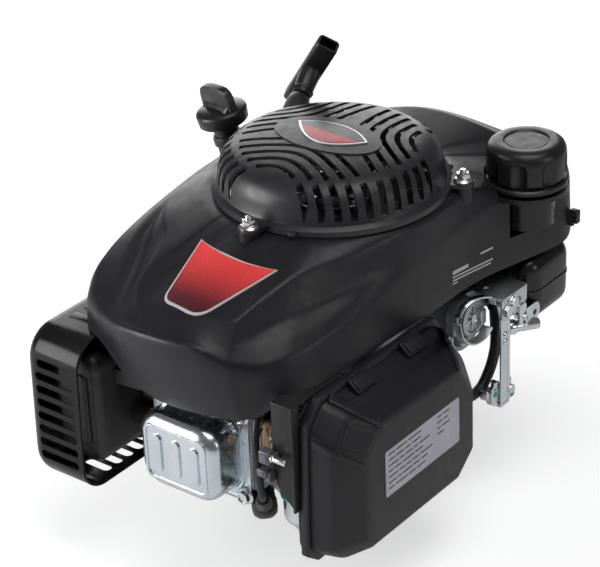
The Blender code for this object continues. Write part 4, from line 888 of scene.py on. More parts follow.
def hood_plate(grow, z_low, z_high):
    """The tapered printed plate on the shroud: concave rear edge, rounded front corners."""
    corners = Vector((-36, -123)), Vector((42, -127)), Vector((13, -190)), Vector((-25, -185))
    rear_left, rear_right, front_right, front_left = corners
    middle = (rear_left + rear_right + front_right + front_left) / 4
    points = []
    for k in range(13):
        p = rear_left.lerp(rear_right, k / 12)
        p.y -= 7.0 * math.sin(math.pi * k / 12)
        points.append(p)
    for before, corner, after, radius in ((rear_right, front_right, front_left, 12.0),
                                          (front_right, front_left, rear_left, 9.0)):
        start = corner + (before - corner).normalized() * radius
        end = corner + (after - corner).normalized() * radius
        for k in range(7):
            t = k / 6
            points.append(start * (1 - t) ** 2 + corner * (2 * t * (1 - t)) + end * t * t)
    grown = []
    for p in points:
        out = p - middle
        grown.append(tuple(middle + out * ((out.length + grow) / out.length)))
    obj = plate_fan(grown, z_low, z_high, middle.x, middle.y, 14)
    for v in obj.data.vertices:
        v.co.z += on_hood(v.co.x, v.co.y, DECK) + 0.7
    return obj


put("hood_plate_rim", hood_plate(1.2, -1.4, 0.0), "silver", "front_badge")
put("hood_plate_face", hood_plate(-0.9, -1.0, 0.55), "plate")

# --------------------------------------------------------------- air filter --
# Sections of the lid along x, as y and z of eight corners: the flange ring, the
# lid inside it, the end of the side walls, and the outer face.
LID_BACK = [(-185, 8), (-171, -3), (-12, 1), (6, 12), (6, 120), (-10, 140.5), (-163, 141.5),
            (-180, 125)]
LID_RING = [(-182, 11), (-169, 0), (-13, 3), (4, 13.5), (4, 118), (-12, 137.5), (-161.5, 138.5),
            (-177.5, 122.5)]
LID_SIDE = [(-177, 15), (-164, 2), (-16, 4), (3, 18), (3, 103), (-15, 125), (-153, 126.5),
            (-174.5, 107)]
LID_FACE = [(-151, 18), (-142, 6), (-25, 6), (-2, 25), (-2, 77), (-23, 109), (-129, 114),
            (-149, 94)]
FACE_X = 140.6


def shrink(points, inset):
    y0, z0 = sum(p[0] for p in points) / 8, sum(p[1] for p in points) / 8
    return [(y0 + (y - y0) * (1 - inset / 80.0), z0 + (z - z0) * (1 - inset / 62.0))
            for y, z in points]


def lid_solid(inset, front, back=100.2):
    sections = ((back, LID_RING), (127.0 - inset * 0.4, LID_SIDE), (front, LID_FACE))
    return loft([[(x, y, z) for y, z in shrink(points, inset)] for x, points in sections])


flange = soften(loft([[(x, y, z) for y, z in LID_BACK] for x in (100.2, 107.8)]), 1.8, 4, 20)
lid = union_solid(soften(lid_solid(0.0, FACE_X), 4.2, 5, 12), flange)
LID_TREE = hit_tree(lid)
put("filter_cover", cut_solid(lid, lid_solid(2.6, 137.8, 97.0)), "filter", "air_filter_cover",
    "filter_cover", angle=30)


def drape(tree, corners, rise, nu, nv, sink):
    """A raised patch on a surface. Its four corners are cast onto it from the camera."""
    c = [Vector(p) for p in corners]
    hits = []
    for j in range(nv + 1):
        for i in range(nu + 1):
            u, v = i / nu, j / nv
            p = c[0].lerp(c[1], u).lerp(c[3].lerp(c[2], u), v)
            place, normal = tree.ray_cast(EYE, (p - EYE).normalized())[:2]
            hits.append((p, Vector((1, 0, 0))) if place is None else (place, normal))
    k = nu + 1
    normals = []
    for j in range(nv + 1):
        for i in range(nu + 1):
            total = Vector((0, 0, 0))
            for jj in range(max(0, j - 1), min(nv, j + 1) + 1):
                for ii in range(max(0, i - 1), min(nu, i + 1) + 1):
                    total += hits[jj * k + ii][1]
            normals.append(total.normalized())
    bm = bmesh.new()
    up = [bm.verts.new(place + n * rise) for (place, _), n in zip(hits, normals)]
    down = [bm.verts.new(place - n * sink) for (place, _), n in zip(hits, normals)]
    for j in range(nv):
        for i in range(nu):
            a = j * k + i
            bm.faces.new((up[a], up[a + 1], up[a + k + 1], up[a + k]))
            bm.faces.new((down[a], down[a + k], down[a + k + 1], down[a + 1]))
    edge = list(range(k)) + [j * k + nu for j in range(1, nv + 1)]
    edge += [nv * k + i for i in range(nu - 1, -1, -1)] + [j * k for j in range(nv - 1, 0, -1)]
    for a, b in zip(edge, edge[1:] + edge[:1]):
        bm.faces.new((up[b], up[a], down[a], down[b]))
    return to_solid(bm)


def lid_patch(corners, rise, nu, nv):
    return soften(drape(LID_TREE, corners, rise, nu, nv, 1.4), min(0.7, rise * 0.5), 2, 50)


def facet_frame(place, x_axis, y_axis):
    """A placing matrix with X along x_axis and Z along the facet's outward normal."""
    x_axis = Vector(x_axis).normalized()
    z_axis = x_axis.cross(Vector(y_axis).normalized()).normalized()
    return axes_at(Vector(place), x_axis, z_axis.cross(x_axis).normalized(), z_axis)


for i, y in enumerate((-116.0, -48.0), 1):
    facet = facet_frame((113.6, y, 136.0), (0, -1, 0), (1, 0, -0.83))
    put(f"filter_snap_{i}", gather(move(box(-12.5, 12.5, -6.6, 6.6, -3.0, 0.9, 0.7, 3), facet),
                                   move(box(-10.2, 10.2, -4.6, 4.8, 0.0, 2.6, 0.9, 3), facet)),
        "filter", body="filter_cover")

put("rating_label", outline(rounded(-126, -25, 43.6, 85.2, 2.0, 4), 140.5, 141.15, "YZ"), "label",
    body="filter_cover")


def text_rules(start, lines):
    """Lines of text as plain bars, each given by its words' widths."""
    rules = []
    for k, words in enumerate(lines):
        y = start
        for width in words:
            rules.append(box(141.12, 141.24, y, y + width, 80.6 - k * 5.2, 81.9 - k * 5.2))
            y += width + 1.8
    return rules


wide_column = text_rules(-122.0, (
    (9, 14, 17), (8, 11, 7, 12), (13, 6, 10, 5, 14), (6, 9, 15, 11), (12, 8, 6, 9, 17),
    (10, 5, 13, 8, 9), (7, 16, 9, 12)))
narrow_column = text_rules(-56.0, ((6, 9), (8, 5), (5, 10), (9,)))
put("label_rules", gather(*wide_column, *narrow_column), "ink", body="filter_cover")

upper_bar = lid_patch([(128, -176.3, 159.9), (FACE_X, -126.4, 115.5), (FACE_X, -128.6, 107.9),
                       (128, -179.0, 153.7)], 2.3, 16, 3)
lower_bar = lid_patch([(128, -199.5, 130.5), (FACE_X, -153.6, 89.8), (FACE_X, -153.9, 84.2),
                       (128, -199.2, 124.5)], 1.8, 16, 3)
pad = lid_patch([(FACE_X, -172.4, 137.0), (FACE_X, -136.0, 110.0), (FACE_X, -146.9, 97.0),
                 (FACE_X, -180.2, 117.0)], 1.3, 10, 8)
put("filter_latch", gather(upper_bar, lower_bar, pad), "filter", body="filter_cover")
put("filter_rib", lid_patch([(FACE_X, -50.8, 161.4), (FACE_X, -45.0, 157.9),
                             (FACE_X, -20.5, 108.0), (FACE_X, -26.0, 109.0)], 1.1, 4, 14),
    "filter", body="filter_cover")
put("filter_pull", move(box(-12, 12, -3.4, 3.4, -3, 2.6, 1.4, 3),
                        facet_frame((118.0, 3.4, 62), (0, 0, 1), (1, -0.12, 0))),
    "filter", body="filter_cover")

# backing panel and box behind the lid
panel = sheet(0.6, [(79.4, 139.4), (82, 141.6), (99.8, 141.6), (99.8, 48.5), (94, 54), (87, 60.5),
                    (82.4, 68), (79.6, 80), (79, 92)], -187.6, -184.8, "XZ")
top_lip = box(79, 99.6, -187.8, -120, 139.4, 141.8, 0.9, 3)
side_lip = box(97.2, 99.7, -188, -178, 47, 141.5, 0.7, 2)
rear = cut(outline([(-178, 6), (-8, 6), (0, 14), (0, 116), (-12, 134), (-168, 137), (-182, 126),
                    (-182, 16)], 97.3, 99.6, "YZ"), rod_x(60, 110, -155, 87, 17.8, 64))
put("filter_backing", gather(panel, top_lip, side_lip, soften(rear, 0.5, 2, 40)), "panel",
    "air_filter_base")
pleats = [box(112.4, 119.6, y, y + 4.6, 22, 116, 1.4, 2)
          for y in [-160 + k * 7.4 for k in range(19)]]
foam_frame = cut(box(101, 113, -162, -20, 20, 118, 2, 2), box(99, 112, -150, -32, 32, 106))
put("filter_pleats", gather(foam_frame, *pleats), "foam", "air_filter_element")

# ---------------------------------------------------------------- valve cover --
COVER_Z = 73.0


def cover_outline(half_x, half_z, corner, n=8):
    return rounded(-half_x, half_x, COVER_Z - half_z, COVER_Z + half_z, corner, n)


def pillow(half_x, half_z, y_face, y_back, corner, roll):
    """A pressed lid: rounded rectangle sections that roll over into the face."""
    rings = []
    for k in range(7):
        a = math.radians(90 * k / 6)
        inset = roll * (1 - math.sin(a)) if k < 6 else 0
        y = y_face + roll * (1 - math.cos(a))
        radius = max(2.0, corner - roll * (1 - math.sin(a)) * 0.7)
        rings.append([(x, y, z) for x, z in cover_outline(half_x - inset, half_z - inset, radius)])
    rings.append([(x * 1.015, y_back, COVER_Z + (z - COVER_Z) * 1.015) for x, _, z in rings[-1]])
    return loft(rings)


def cover_frame(outer, inner, y0, y1):
    """A flat frame between two outlines, each half width, half height and corner."""
    return outline(cover_outline(*outer), y0, y1, "XZ", [cover_outline(*inner)])


lid = cut(pillow(39.5, 33.2, -211.2, -174.5, 19, 10.5), pillow(38.0, 31.7, -209.4, -160, 17.6, 9.8))
flange = cover_frame((46.5, 42.5, 12), (37.8, 31.5, 11), -176.0, -173.6)
lips = cover_frame((46.8, 42.8, 12.2), (45.4, 41.4, 11), -177.4, -173.5)
bead = cover_frame((40.6, 34.3, 13.5), (38.2, 31.9, 11.5), -178.6, -175.2)
screw_places = [(sx * 40.5, COVER_Z + sz * 37.0) for sx, sz in CORNERS]
flange = cut(flange, *[rod_y(x, -180, -170, z, 3.4, 28) for x, z in screw_places])
ribs = [soften(outline(rounded(x - 4.6, x + 4.6, COVER_Z - 17, COVER_Z + 17, 4.4, 7),
                       -212.7, -209.6, "XZ"), 1.1, 3, 40) for x in (-19.0, 0.0, 19.0)]
face_bead = soften(cover_frame((31.5, 25, 7), (29.3, 22.8, 5.5), -212.0, -209.8), 0.7, 3, 40)
put("rocker_cover", gather(lid, soften(lips, 0.4, 2, 40), soften(bead, 1.0, 3, 40), flange,
                           face_bead, *ribs), "cover_zinc", "valve_cover", angle=40)

for i, (x, z) in enumerate(screw_places):
    screw = cut(rod_y(x, -182.2, -177.6, z, 5.9, 6, turn=0.35 * i, bevel=0.55),
                rod_y(x, -184, -181.2, z, 3.9, 24))
    washer = ring([(2.5, 0), (7.6, 0), (7.8, 0.6), (7.4, 1.3), (5.4, 2.3), (2.5, 2.3)],
                  (x, -176.2, z), (0, -1, 0), n=40)
    put(f"cover_screw_{i + 1}", gather(screw, washer, rod_y(x, -177.8, -165, z, 3.0, 24)),
        "hardware", f"valve_cover_bolt_{i + 1}")

# ----------------------------------------------------------- muffler and guard --
PIPE_Z = 60.0


def lean(y, z):
    """The guard leans towards +Y as it rises."""
    return y + (z - 9) * 0.03


def guard_solid(wall):
    """A rounded rectangle in y and z that rolls in towards the -X side."""
    rings = []
    for x, roll in ((-152, 12), (-151.3, 8), (-149.4, 4.6), (-146.4, 2.2), (-142.6, 0.7),
                    (-138.5, 0), (-50, 0)):
        inset = roll + wall
        points = rounded(-221.6 + inset, -20, 9 + inset, 145.8 - inset, 25 - wall - roll * 0.4, 10)
        shift = wall if x < -100 else 30 * wall
        rings.append([(x + shift, lean(y, z), z) for y, z in points])
    return loft(rings)


guard = cut(guard_solid(0.0), guard_solid(1.6), box(-94, -20, -240, 10, -5, 160),
            box(-170, -2, -63.5, 10, -5, 160))
slots = []
for k in range(8):
    z = 120 - 12.2 * k
    x0, x1 = (-140.5, -98.5) if k else (-137.5, -112)
    slots.append(outline(rounded(x0, x1, z - 3.6, z + 3.6, 3.5, 5), -230, -206, "XZ"))
slots += [outline(rounded(-129, -102.5, y - 4.5, y + 4.5, 4.3, 5), 2, 20)
          for y in (-181, -167.6, -154.2, -140.8, -127.4, -114)]
slots += [outline(rounded(y, y + 12, z0, z1, 5.9, 6), -160, -143, "YZ")
          for z0, z1 in ((70, 104), (30, 56)) for y in (-182, -152, -122)]
guard = cut(guard, gather(*slots))
# only the two corners at the -Y end
lip = rounded(-220.8, -20, 9.8, 145.0, 24.2, 10)[11:33]
rim = wire([(-94.3, lean(y, z), z) for y, z in [(-64.5, 145.0)] + lip + [(-64.5, 9.8)]], 1.1, 4, 0)
emboss = [box(-134, -108, y - 4.5, y + 4.5, 145.0, 146.55, 0.7, 3)
          for y in (-176, -159, -142, -125)]
put("heat_guard", gather(guard, rim, *emboss), "gloss", "muffler_guard", angle=35)

# can sections along y, with their inset
CAN_SECTIONS = ((-203, 7), (-202.2, 4), (-200, 1.6), (-196, 0), (-105, 0), (-101, 1.6),
                (-98.8, 4), (-98, 7))
can = loft([[(x, y, z) for x, z in rounded(-140 + g, -87 - g, 30 + g, 130 - g, 13 - g * 0.6, 8)]
            for y, g in CAN_SECTIONS])
seam = sheet(0.8, rounded(-142, -85, 28, 132, 14, 8), -152, -149, "XZ",
             [rounded(-139, -88, 31, 129, 12, 8)])
bump = soften(box(-128, -98, -206.5, -200, 48, 112, 3, 4), 0.5, 2)
pipe = wire([(-88, -155, PIPE_Z), (-76, -155, PIPE_Z), (-58, -155, PIPE_Z)], 11.5, 8, 6)
foot = box(-62, -57.6, -171, -139, PIPE_Z - 20, PIPE_Z + 20, 2, 3)
stub = ring([(6.4, 15), (8.8, 15), (9.0, 16), (9.0, 42), (6.4, 42)], (-114, -120, 0), n=48)
bracket = strap([(-92, -182, 106), (-80, -180, 106), (-70, -176, 104), (-64, -170, 100)],
                14, 2.2, (0, 0, 1))
heads = [rod_x(-64.4, -57, y, PIPE_Z + dz, 4.2, 6, bevel=0.4)
         for y, dz in ((-166.5, 14), (-143.5, -14))]
put("muffler_can", gather(can, seam, bump, pipe, foot, stub, bracket, *heads), "paint", "muffler",
    angle=35)
put("muffler_tube", wire([(-99, -190, 84), (-97, -196, 76), (-97, -197, 60), (-99, -190, 50)],
                         5.5, 7, 8), "steel")

# small print on the shroud's +X flank, as plain rules: y and z of four corners
PRINT_RULES = [
    [(21.4, 167.4), (43.9, 164.8), (43.8, 161.8), (21.4, 164.1)],
    [(21.4, 162.3), (80.0, 154.3), (80.0, 153.0), (21.4, 161.0)],
    [(21.3, 159.3), (77.0, 151.7), (77.1, 150.4), (21.3, 158.0)],
    [(21.3, 156.5), (28.1, 155.7), (28.1, 154.4), (21.3, 155.2)],
    [(61.8, 167.0), (79.9, 164.7), (79.9, 163.1), (61.8, 165.4)],
]
put("shroud_print", gather(*[drape(HOOD_TREE, [(104.0, y, z) for y, z in rule], 0.16, 16, 2, 0.12)
                             for rule in PRINT_RULES]), "print")

# --------------------------------------------------------------- fuel system --
CAP_PLACE = (CAP_X, CAP_Y, DECK - 14.5)
cap = lathe([(0, 33.0), (18.6, 33.0), (19.6, 34.2), (24.5, 34.4), (28.2, 33.6), (31.2, 31.4),
             (32.8, 27.8), (33.2, 23), (33.4, 7.5), (32.8, 5.4), (30.6, 3.4), (30.4, 0.2),
             (28.4, 0), (26.2, 0), (26.2, 20), (0, 20)], CAP_PLACE, n=120)
scallops = [lathe([(0, -6), (10.0, -6), (10.0, 21), (8.4, 25), (5.0, 27.2), (0, 28)],
                  (*polar(40.0, i * 45 + 22, CAP_X, CAP_Y), CAP_PLACE[2]), n=40)
            for i in range(8)]
cap = soften(cut(cap, *scallops), 0.7, 2, 42)
disc = lathe([(0, 33.4), (9, 33.6), (17.2, 33.4), (17.8, 32.6), (0, 32.6)], CAP_PLACE)
skirt = ring([(29.0, 2.4), (33.0, 2.2), (34.4, 0.9), (34.4, -1.6), (33.4, -2.6), (29.0, -2.6)],
             CAP_PLACE)
put("filler_cap", gather(cap, disc, skirt), "plain", "fuel_cap", "fuel_cap", angle=36)

tank = union(box(-84, 122, 113, 178, 77, 139, 15, 6), box(-76, 101, 117, 164, 120, 202, 13, 4),
             rod_z(CAP_X, CAP_Y, 175, 212, 24, 64))
tank = cut(tank, rod_z(CAP_X, CAP_Y, 150, 216, 21, 64))
seam = sheet(0.5, rounded(-84.7, 122.7, 112.3, 178.7, 15.7, 10), 106.8, 109.0, "XY",
             [rounded(-82, 120, 115, 176, 13, 10)])
stripes = [box(x - 7, x + 7, 175.4, 179.0, 92, 131, 1.6, 3) for x in (-60, -30, 0, 30, 60, 90)]
legs = [box(x - 11, x + 11, 104, 116, 96, 112, 1.5, 2) for x in (-62, 60)]
neck_ring = ring([(24, 205), (26.6, 205), (26.6, 208.4), (24, 208.4)], (CAP_X, CAP_Y, 0), n=80)
outlet = ring([(2.7, -1), (4.6, -1), (4.8, -3), (4.2, -4), (4.2, -13), (2.7, -13)],
              (88, 115, 92), (0, 1, 0), n=32)
put("tank_shell", gather(tank, seam, neck_ring, outlet, *stripes, *legs), "tank", "fuel_tank",
    angle=32)

HOSE_PATH = [(88, 110.5, 92), (88.6, 106.4, 89), (93, 101, 76), (98, 93, 60), (100, 80, 43),
             (99, 64, 31), (95, 34, 32), (91, -40, 44), (88, -100, 57), (86, -127.5, 62)]
put("fuel_line", wire(HOSE_PATH, 4.8, 6, 8), "hose", "fuel_hose")
clips = [ring([(4.7, -2.6), (5.6, -2.6), (5.8, 0), (5.6, 2.6), (4.7, 2.6)], place, axis, n=32)
         for place, axis in (((88, 107.5, 91.4), (0, -1, -0.25)),
                             ((86.2, -124.2, 61.4), (-0.1, -1, 0.1)))]
put("fuel_line_clips", gather(*clips), "hardware")

# ------------------------------------------------------------ recoil handle --
PULL_FRAME = axes_at(PULL_BASE + PULL_AXIS * 30, PULL_BAR,
                     PULL_AXIS.cross(PULL_BAR).normalized(), PULL_AXIS)
# grip sections along the bar: x, half y, half z; neck sections: z, half x, half y
GRIP = ((-44, 8.8, 6.0), (-42.5, 9.5, 6.6), (-20, 9.5, 6.6), (0, 9.5, 6.4), (20, 9.5, 6.6),
        (42.5, 9.5, 6.6), (44, 8.8, 6.0))
NECK = ((-28.8, 8.2, 8.0), (-24, 8.4, 8.2), (-12, 10.5, 8.6), (-4, 15, 8.8), (2, 19, 8.6))
grip = loft([[(x, y, z) for y, z in rounded(-hy, hy, -hz, hz, 2.8, 6)] for x, hy, hz in GRIP])
grip = cut(grip, box(15, 60, -7.2, 7.2, -4.3, 4.3, 0.8, 2),
           box(-60, -15, -7.2, 7.2, -4.3, 4.3, 0.8, 2))
neck = loft([[PULL_FRAME @ Vector((x, y, z))
              for x, y in rounded(-hx, hx, -hy, hy, min(hx, hy) * 0.9, 6)] for z, hx, hy in NECK])
neck = cut(neck, rod(PULL_BASE - PULL_AXIS * 2, PULL_BASE + PULL_AXIS * 16, 2.8, 32))
collar = ring([(7.8, 0), (9.2, 0.2), (9.4, 1.2), (8.9, 2.2), (7.8, 2.4)],
              PULL_BASE + PULL_AXIS * 5.5, PULL_AXIS, n=48)
put("pull_grip", gather(move(grip, PULL_FRAME), neck, collar), "plain", "starter_handle",
    "handle", angle=36)


def braid(path, radius, strands=3, twist=0.30):
    """A laid cord: strands wound round the path, twist in radians per millimetre."""
    parts = []
    for strand in range(strands):
        points, run = [], 0.0
        for i, p in enumerate(path):
            if i:
                run += (p - path[i - 1]).length
            along = heading(path, i)
            side = along.orthogonal().normalized()
            a = run * twist + 2 * math.pi * strand / strands
            across = side * math.cos(a) + along.cross(side) * math.sin(a)
            points.append(p + across * radius * 0.46)
        parts.append(wire(points, radius * 0.56, 3, 0))
    return gather(*parts)


cord_start, cord_end = PULL_BASE - PULL_AXIS * 34, PULL_BASE + PULL_AXIS * 12
cord_path = spline([(*polar(41.5, 128), 243.0), cord_start, cord_end], 24)
fine_path = [a.lerp(b, k / 3) for a, b in zip(cord_path, cord_path[1:]) for k in range(3)]
cord = put("pull_cord", braid(fine_path + cord_path[-1:], 2.0), "hose", "starter_rope",
           body=None)
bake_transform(cord)


# ----------------------------------------------------------------- dipstick --
def oil_at(distance):
    return OIL_MOUTH + OIL_AXIS * distance


OIL_FRAME = Matrix.Translation(OIL_MOUTH) @ aim(OIL_AXIS) @ turn_z(35)
# the fin's profile across the cap, and its sections: offset, width scale, height scale
FIN = [(-20.5, 3), (-20.0, 22), (-18.2, 27.5), (-13.5, 31.0), (-7, 32.4), (7, 32.4), (13.0, 31.2),
       (17.0, 28.0), (18.8, 23), (20.5, 3)]
FIN_SECTIONS = ((-4.3, 0.93, 0.80), (-3.4, 0.99, 0.86), (0, 1.0, 0.88), (3.4, 0.99, 0.86),
                (4.3, 0.93, 0.80))
# height, half length, half width
SHOULDER = ((9, 19.5, 12), (13, 19.5, 9.0), (16.4, 19, 5.6), (19, 18.6, 4.2))
cap_body = ring([(8, 0.6), (20.6, 0.6), (21.6, 1.6), (22.4, 10.2), (22.0, 11.8), (20.4, 13.4),
                 (12, 15.4), (0, 15.8), (0, 6), (8, 6)], OIL_MOUTH, OIL_AXIS)
fin = loft([[OIL_FRAME @ Vector((x * wide, y, 9 + (z - 3) * tall)) for x, z in FIN]
            for y, wide, tall in FIN_SECTIONS])
shoulder = loft([[OIL_FRAME @ Vector((x, y, z))
                  for x, y in rounded(-hx, hx, -hy, hy, min(hx, hy) * 0.95, 8)]
                 for z, hx, hy in SHOULDER])
shoulder = soften(shoulder, 0.3, 1, 60)
stick = rod(oil_at(-150), oil_at(2), 2.6, 20)
plug = ring([(2.0, -26), (7.4, -26), (7.6, -24), (7.6, 2), (2.0, 2)], OIL_MOUTH, OIL_AXIS, n=48)
seal = ring([(7.4, -3.2), (8.5, -2.4), (8.5, -1.2), (7.4, -0.4)], OIL_MOUTH, OIL_AXIS, n=48)
put("oil_cap", gather(cap_body, fin, shoulder, stick, plug, seal), "plain", "dipstick",
    "dipstick", angle=40)

tube = wire([(-86, 41, 52.6), (-100, 48.8, 55.6), (-112, 55.8, 59.0), (-117.6, 58.8, 66),
             (-118.8, 58.2, 78), oil_at(-60), oil_at(-0.2)], 11, 10, 10)
tube = cut(tube, rod(oil_at(-120), oil_at(6), 8.7, 48))
collar = ring([(11, -20), (13.2, -19), (13.4, -14), (12.4, -11), (11, -10.6)],
              OIL_MOUTH, OIL_AXIS, n=56)
boss = ring([(7.4, -4), (15.5, -4), (15.5, 3), (13.0, 5.5), (11, 6), (7.4, 6)],
            (-88, 42, 53), Vector((-14, 7.8, 3)).normalized(), n=56)
put("oil_tube", gather(tube, collar, boss, box(-127, -112, 44, 60, 136, 144, 1.5, 3)), "plain",
    "oil_fill_tube", angle=40)


# ----------------------------------------------------------- plug, boot, lead --
def plug_at(distance):
    return PLUG_TIP + PLUG_AXIS * distance


def on_plug(profile, n):
    return lathe(profile, PLUG_TIP, PLUG_AXIS, n)


thread = on_plug([(0, 0), (5.6, 0), (6.2, 1.4)]
                 + [(6.2 if k % 2 else 5.5, 1.4 + 0.7 * k) for k in range(1, 20)]
                 + [(6.2, 16), (0, 16)], 40)
hexagon = rod(plug_at(16), plug_at(25), 9.2, 6, bevel=0.6)
seat = on_plug([(0, 24), (7.0, 24), (6.8, 28.6), (4.9, 30), (0, 30)], 40)
put("plug_shell", gather(thread, hexagon, seat), "zinc")
put("plug_insulator", on_plug([(0, 29), (4.9, 29)]
                              + [(4.9 - 0.3 * (k % 2), 31 + k * 1.3) for k in range(8)]
                              + [(4.5, 44), (2.7, 44.6), (2.7, 50), (0, 50)], 40),
    "ceramic", "spark_plug")

BOOT_ELBOW = plug_at(52)
BOOT_ARM = Vector((0.42, -0.56, 0.71)).normalized()
boot = ring([(5.6, 31), (8.4, 31), (8.8, 32.4), (8.4, 34), (9.0, 44), (10.2, 47), (10.4, 54),
             (9.4, 58.6), (6.4, 61.2), (0, 62), (0, 50), (5.6, 50)], PLUG_TIP, PLUG_AXIS, n=64)
arm = lathe([(0, 0), (6.6, 0), (6.8, 9), (6.2, 13), (6.4, 15), (5.7, 17), (5.9, 19.4),
             (5.2, 21.4), (5.0, 24.4), (3.6, 24.8), (3.5, 18), (0, 18)], BOOT_ELBOW, BOOT_ARM, n=56)
bands = [ring([(8.4, s), (9.5, s + 0.7), (9.5, s + 1.6), (8.4, s + 2.3)],
              PLUG_TIP, PLUG_AXIS, n=56) for s in (35, 38.6, 42.2)]
put("plug_boot", gather(boot, arm, *bands), "rubber", "spark_plug_boot", angle=45)
lead_start = BOOT_ELBOW + BOOT_ARM * 16.6
put("plug_lead", wire([lead_start, lead_start + BOOT_ARM * 12, (68, -190, 58), (66, -191, 90),
                       (62, -185, 112), (59, -172, 126), (58, -130, 146), (62, -106, 158),
                       (56, -98, 166)], 3.1, 6, 10), "hose", "ignition_lead")

leaves = [box(-15.6, 15.6, -96.8, -87.0, 173 + k * 2.6, 174.6 + k * 2.6) for k in range(8)]
coil = gather(box(-16, 16, -97, -86.8, 172, 194, 1.5, 3),
              box(-10, 10, -110, -90, 167, 199, 3, 4), *leaves)
put("coil_pack", move(coil, turn_z(28)), "plain", "ignition_coil")

# ----------------------------------------------------------------- carburettor --
CARB_Y, CARB_Z = -155, 87.0  # the throat's axis, along x
BOWL_X, BOWL_Y, BOWL_Z = 82, -158, 44.2
BOWL_PLACE = (BOWL_X, BOWL_Y, BOWL_Z)
THROTTLE_X = 79
carb = box(67, 92, -173.6, -136.4, CARB_Z - 21.6, CARB_Z + 19.6, 4, 4)
throat = ring([(11, 66.9), (17.4, 66.9), (17.8, 70), (16.4, 76), (16.2, 90), (17.8, 93.5),
               (17.8, 97), (11, 97)], (0, CARB_Y, CARB_Z), (1, 0, 0), n=64)
turret = rod_z(BOWL_X, BOWL_Y, 44.8, CARB_Z - 17, 13.4, 48, bevel=1.2)
bosses = [rod_y(86, -140, -126, 62, 3.6, 28), box(81, 91, -149, -138, 56.6, 70, 1.6, 3),
          rod_y(74, -172, -178, CARB_Z + 6, 4.6, 28, bevel=0.7),
          rod_y(85, -171, -177.5, CARB_Z - 10, 3.8, 6, bevel=0.4),
          box(70, 90, -160, -150, CARB_Z + 17, CARB_Z + 23, 1.6, 3)]
carb = cut(carb, rod_x(60, 110, CARB_Y, CARB_Z, 11, 56),
           rod_z(THROTTLE_X, CARB_Y, CARB_Z + 6, CARB_Z + 50, 3.0, 24))
put("carb_body", gather(carb, throat, turret, *bosses), "cast", "carburettor")
bowl = ring([(12.4, 0), (15.4, 0), (15.8, -1.2), (15.4, -2.6), (14.8, -3.6), (14.5, -18.5),
             (13.4, -22.0), (10.6, -25.4), (8.4, -26.2), (3.6, -26.4), (3.6, -24.9),
             (9.4, -24.5), (12.4, -19.6)], BOWL_PLACE)
put("carb_bowl", bowl, "zinc", "float_bowl", angle=40)
put("bowl_ring", ring([(14.6, -0.6), (16.5, -0.6), (16.8, 0.4), (16.4, 1.8), (14.6, 1.8)],
                      BOWL_PLACE, n=80), "green")
screw = gather(rod_z(BOWL_X, BOWL_Y, BOWL_Z - 33, BOWL_Z - 27.4, 5.6, 6, bevel=0.5),
               ring([(2, -27.6), (7.2, -27.6), (7.4, -26.9), (7.0, -26.3), (2, -26.3)],
                    BOWL_PLACE, n=40),
               rod_z(BOWL_X, BOWL_Y, BOWL_Z - 27, BOWL_Z - 1, 2.9, 24))
put("bowl_screw", screw, "hardware", "bowl_bolt")
throttle = gather(
    rod_z(THROTTLE_X, CARB_Y, CARB_Z - 12.4, CARB_Z + 30, 2.4, 28, bevel=0.3),
    rod_x(78.4, 79.6, CARB_Y, CARB_Z, 9.4, 48),
    sheet(0.4, [(76.4, -158.4), (81.6, -158.4), (81.8, -152), (80.6, -135.4), (77.4, -135.4),
                (76.2, -152)], CARB_Z + 24, CARB_Z + 26.4),
    rod_z(THROTTLE_X, CARB_Y, CARB_Z + 26, CARB_Z + 29.4, 4.2, 6, bevel=0.3))
put("throttle_lever", throttle, "zinc", "throttle_valve", "throttle")
spacer = sheet(0.8, rounded(-173, -137, CARB_Z - 20, CARB_Z + 20, 5, 6), 56.6, 66.5, "YZ",
               [circle(CARB_Y, CARB_Z, 10.2, 48)])
gaskets = [outline(rounded(-173.6, -136.4, CARB_Z - 20.6, CARB_Z + 20.6, 5, 6), x, x + 0.7, "YZ",
                   [circle(CARB_Y, CARB_Z, 10.8, 48)]) for x in (55.8, 66.4)]
put("intake_spacer", gather(spacer, *gaskets), "tan", "intake_insulator")

# studs, wire loop and small clips between the rocker cover and the filter panel
studs = gather(rod_x(66, 83, -170, 79, 3.0, 28, bevel=0.4),
               rod_x(82, 86.5, -170, 79, 5.2, 6, bevel=0.5), rod_x(64, 80, -171, 96, 2.4, 24),
               ring([(2, 0), (5.6, 0), (5.6, 1.0), (2, 1.0)], (80.5, -170, 79), (1, 0, 0), n=32))
put("carb_studs", studs, "hardware")
put("plug_lead_loop", wire([(60, -176, 106), (59, -181, 98), (60, -183, 88), (63, -181, 80),
                            (67, -178, 76)], 1.6, 5, 8), "hose")
put("lead_clip", gather(box(58, 66, -186, -176, 64, 79, 1.6, 3),
                        box(60, 70, -188, -183, 67, 75, 1.2, 3)), "grey_clip")
put("choke_link", gather(box(72.5, 82.7, -197.0, -188.5, 89.6, 100.8, 1.2, 3),
                         box(74.3, 80.9, -197.9, -196.0, 91.4, 99.0, 0.5, 2),
                         box(80, 86, -193, -187, 93, 99, 1.0, 2)), "grey_clip")
put("choke_pin", gather(rod_x(81.0, 96.4, -193, 95.3, 2.7, 32, bevel=0.5),
                        rod_x(83.2, 84.6, -193, 95.3, 3.6, 32, bevel=0.3)), "hardware")
put("choke_clip", gather(box(68.6, 77.6, -195.5, -187.5, 75.4, 81.9, 1.0, 3),
                         box(75.5, 79.8, -193, -184, 70.5, 80.5, 0.8, 3),
                         box(70.4, 76, -196.1, -195, 77, 80.4, 0.3, 2)), "grey_clip")

